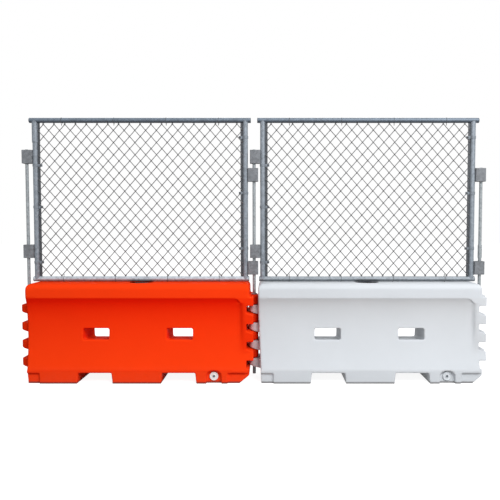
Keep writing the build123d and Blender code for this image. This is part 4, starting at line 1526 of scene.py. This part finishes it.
class FENCE_OT_drop_pins(bpy.types.Operator):
    """Builds the drop pins: two pipes, the coupling between them and the stop collar"""

    bl_idname = "fence.drop_pins"
    bl_label = "Drop pins"

    pipe_wall = 0.004
    edge = 0.0015
    inner_edge = 0.00075
    screw_levels = (0.2, 0.8)
    screw_segments = 12
    screw_radius = 0.005
    screw_length = 0.006
    screw_proud = 0.003
    screw_edge = 0.001
    screw_step = 0.0015
    nib_radius = 0.0022

    def ring(self, bottom, top, outer, inner):
        edge = self.edge
        inside = self.inner_edge
        return lathe([
            (outer - edge, bottom), (outer, bottom + edge), (outer, top - edge), (outer - edge, top),
            (inner + inside, top), (inner, top - inside), (inner, bottom + inside), (inner + inside, bottom),
        ])

    def screw(self, radius, z):
        """A set screw that stands out of a ring towards the front"""
        outer = self.screw_radius
        edge = self.screw_edge
        step = self.screw_step
        profile = [
            (0, 0.0), (self.nib_radius, 0.0), (self.nib_radius, step), (outer - edge, step),
            (outer, step + edge), (outer, self.screw_length), (0, self.screw_length),
        ]
        return moved(lathe(profile, self.screw_segments), (0, -radius - self.screw_proud, z), TURN_TO_Y)

    def execute(self, context):
        for name in PINS:
            prefix = f"{name}_pin"
            place = (PIN_X[name], 0, 0)
            rod = node_box(f"{prefix}_lower_rod")
            outer = (rod[1].x - rod[0].x) / 2
            for part in ("lower_rod", "upper_rod"):
                node = f"{prefix}_{part}"
                mesh = self.ring(low(node).z, high(node).z, outer, outer - self.pipe_wall)
                mesh = smooth_shaded(moved(mesh, place))
                piece(f"{prefix}_{part}_pipe", mesh, prefix, "pin_steel", [node])
            for part in ("coupling", "stop_collar"):
                node = f"{prefix}_{part}"
                radius = (high(node).x - low(node).x) / 2
                bottom = low(node).z
                top = high(node).z
                shapes = [self.ring(bottom, top, radius, outer)]
                if part == "coupling":
                    levels = [bottom + share * (top - bottom) for share in self.screw_levels]
                    shapes += [self.screw(radius, z) for z in levels]
                mesh = smooth_shaded(moved(joined(shapes), place))
                piece(f"{prefix}_{part}_ring", mesh, prefix, "pin_steel", [node])
        return {"FINISHED"}


class FENCE_OT_stage(bpy.types.Operator):
    """Sets the pale floor, the soft lights and the camera"""

    bl_idname = "fence.stage"
    bl_label = "Stage"

    lens = 42.2
    camera_place = (0.134, -4.952, 1.316)
    camera_tilt = 2.70
    camera_shift = -0.04
    floor_size = 60.0
    sky_colour = (0.97, 0.985, 1.0, 1.0)
    sky_level = 0.36
    backdrop = (1.0, 1.0, 1.0, 1.0)
    floor_colour = (0.42, 0.42, 0.42, 1.0)
    floor_glow = 0.90
    # Name, place, width and height, and power of each lamp
    lamps = (
        ("key", (3.0, -5.0, 5.0), (4.0, 2.6), 430.0),
        ("fill", (-4.2, -4.4, 3.6), (3.5, 3.5), 45.0),
        ("back", (0.5, 4.5, 4.5), (5.0, 2.5), 90.0),
    )
    aim = Vector((0.0, 0.0, 0.9))

    def either(self, nodes, lighting, shown):
        """One shader for the light that it gives, and another for the camera and reflections"""
        path = nodes.add("ShaderNodeLightPath").outputs
        seen = nodes.math("MAXIMUM", path["Is Camera Ray"], path["Is Glossy Ray"])
        seen = nodes.math("MAXIMUM", seen, path["Is Transmission Ray"])
        inputs = {0: seen, 1: lighting.outputs[0], 2: shown.outputs[0]}
        return nodes.add("ShaderNodeMixShader", inputs).outputs[0]

    def sky(self, scene):
        world = bpy.data.worlds.new("Soft sky")
        world.use_nodes = True
        scene.world = world
        nodes = Nodes(world.node_tree)
        nodes.tree.nodes.clear()
        light = nodes.add("ShaderNodeBackground", {"Color": self.sky_colour, "Strength": self.sky_level})
        white = nodes.add("ShaderNodeBackground", {"Color": self.backdrop, "Strength": 1.0})
        nodes.add("ShaderNodeOutputWorld", {"Surface": self.either(nodes, light, white)})

    def floor(self):
        half = self.floor_size / 2
        mesh = bpy.data.meshes.new("floor")
        corners = [(-half, -half, 0), (half, -half, 0), (half, half, 0), (-half, half, 0)]
        mesh.from_pydata(corners, [], [[0, 1, 2, 3]])
        ground = link("floor", mesh)
        material = bpy.data.materials.new("Pale floor")
        material.use_nodes = True
        nodes = Nodes(material.node_tree)
        nodes.tree.nodes.clear()
        matt = nodes.add("ShaderNodeBsdfDiffuse", {"Color": self.floor_colour})
        glow = nodes.add("ShaderNodeEmission", {"Strength": self.floor_glow})
        bright = nodes.add("ShaderNodeAddShader", {0: matt.outputs[0], 1: glow.outputs[0]})
        nodes.add("ShaderNodeOutputMaterial", {"Surface": self.either(nodes, matt, bright)})
        mesh.materials.append(material)

    def execute(self, context):
        scene = context.scene
        scene.view_settings.view_transform = "Standard"
        self.sky(scene)
        self.floor()
        for name, place, size, power in self.lamps:
            lamp = bpy.data.lights.new(name, "AREA")
            lamp.shape = "RECTANGLE"
            lamp.size, lamp.size_y = size
            lamp.energy = power
            made = link(name, lamp)
            made.location = place
            made.rotation_euler = (self.aim - Vector(place)).to_track_quat("-Z", "Y").to_euler()
        camera = bpy.data.cameras.new("camera")
        camera.lens = self.lens
        camera.shift_x = self.camera_shift
        made = link("camera", camera)
        made.location = self.camera_place
        made.rotation_euler = (math.radians(90 - self.camera_tilt), 0, 0)
        scene.camera = made
        return {"FINISHED"}


OPERATORS = (
    FENCE_OT_stage, FENCE_OT_barriers, FENCE_OT_fill_caps, FENCE_OT_drain_plugs,
    FENCE_OT_panel_frames, FENCE_OT_pin_sleeves, FENCE_OT_chain_link, FENCE_OT_tension_fittings,
    FENCE_OT_rail_ties, FENCE_OT_drop_pins,
)


class FENCE_PT_panel(bpy.types.Panel):
    """Lists the fence's builders and sizes"""

    bl_idname = "FENCE_PT_panel"
    bl_label = "Chain-link fence"
    bl_space_type = "VIEW_3D"
    bl_region_type = "UI"
    bl_category = "Fence"

    def draw(self, context):
        for operator in OPERATORS:
            self.layout.operator(operator.bl_idname)
        for group in (context.scene.fence_barrier, context.scene.fence_fabric, context.scene.fence_colours):
            box = self.layout.box()
            for name in group.__annotations__:
                box.prop(group, name)


CLASSES = (BarrierSizes, FabricSizes, FenceColours, *OPERATORS, FENCE_PT_panel)


def register():
    for made in CLASSES:
        bpy.utils.register_class(made)
    bpy.types.Scene.fence_barrier = PointerProperty(type=BarrierSizes)
    bpy.types.Scene.fence_fabric = PointerProperty(type=FabricSizes)
    bpy.types.Scene.fence_colours = PointerProperty(type=FenceColours)


def unregister():
    del bpy.types.Scene.fence_colours
    del bpy.types.Scene.fence_fabric
    del bpy.types.Scene.fence_barrier
    for made in reversed(CLASSES):
        bpy.utils.unregister_class(made)


def main():
    register()
    bpy.ops.fence.stage()
    bpy.ops.fence.barriers()
    bpy.ops.fence.fill_caps()
    bpy.ops.fence.drain_plugs()
    bpy.ops.fence.panel_frames()
    bpy.ops.fence.pin_sleeves()
    bpy.ops.fence.chain_link()
    bpy.ops.fence.tension_fittings()
    bpy.ops.fence.rail_ties()
    bpy.ops.fence.drop_pins()


if __name__ == "__main__":
    main()
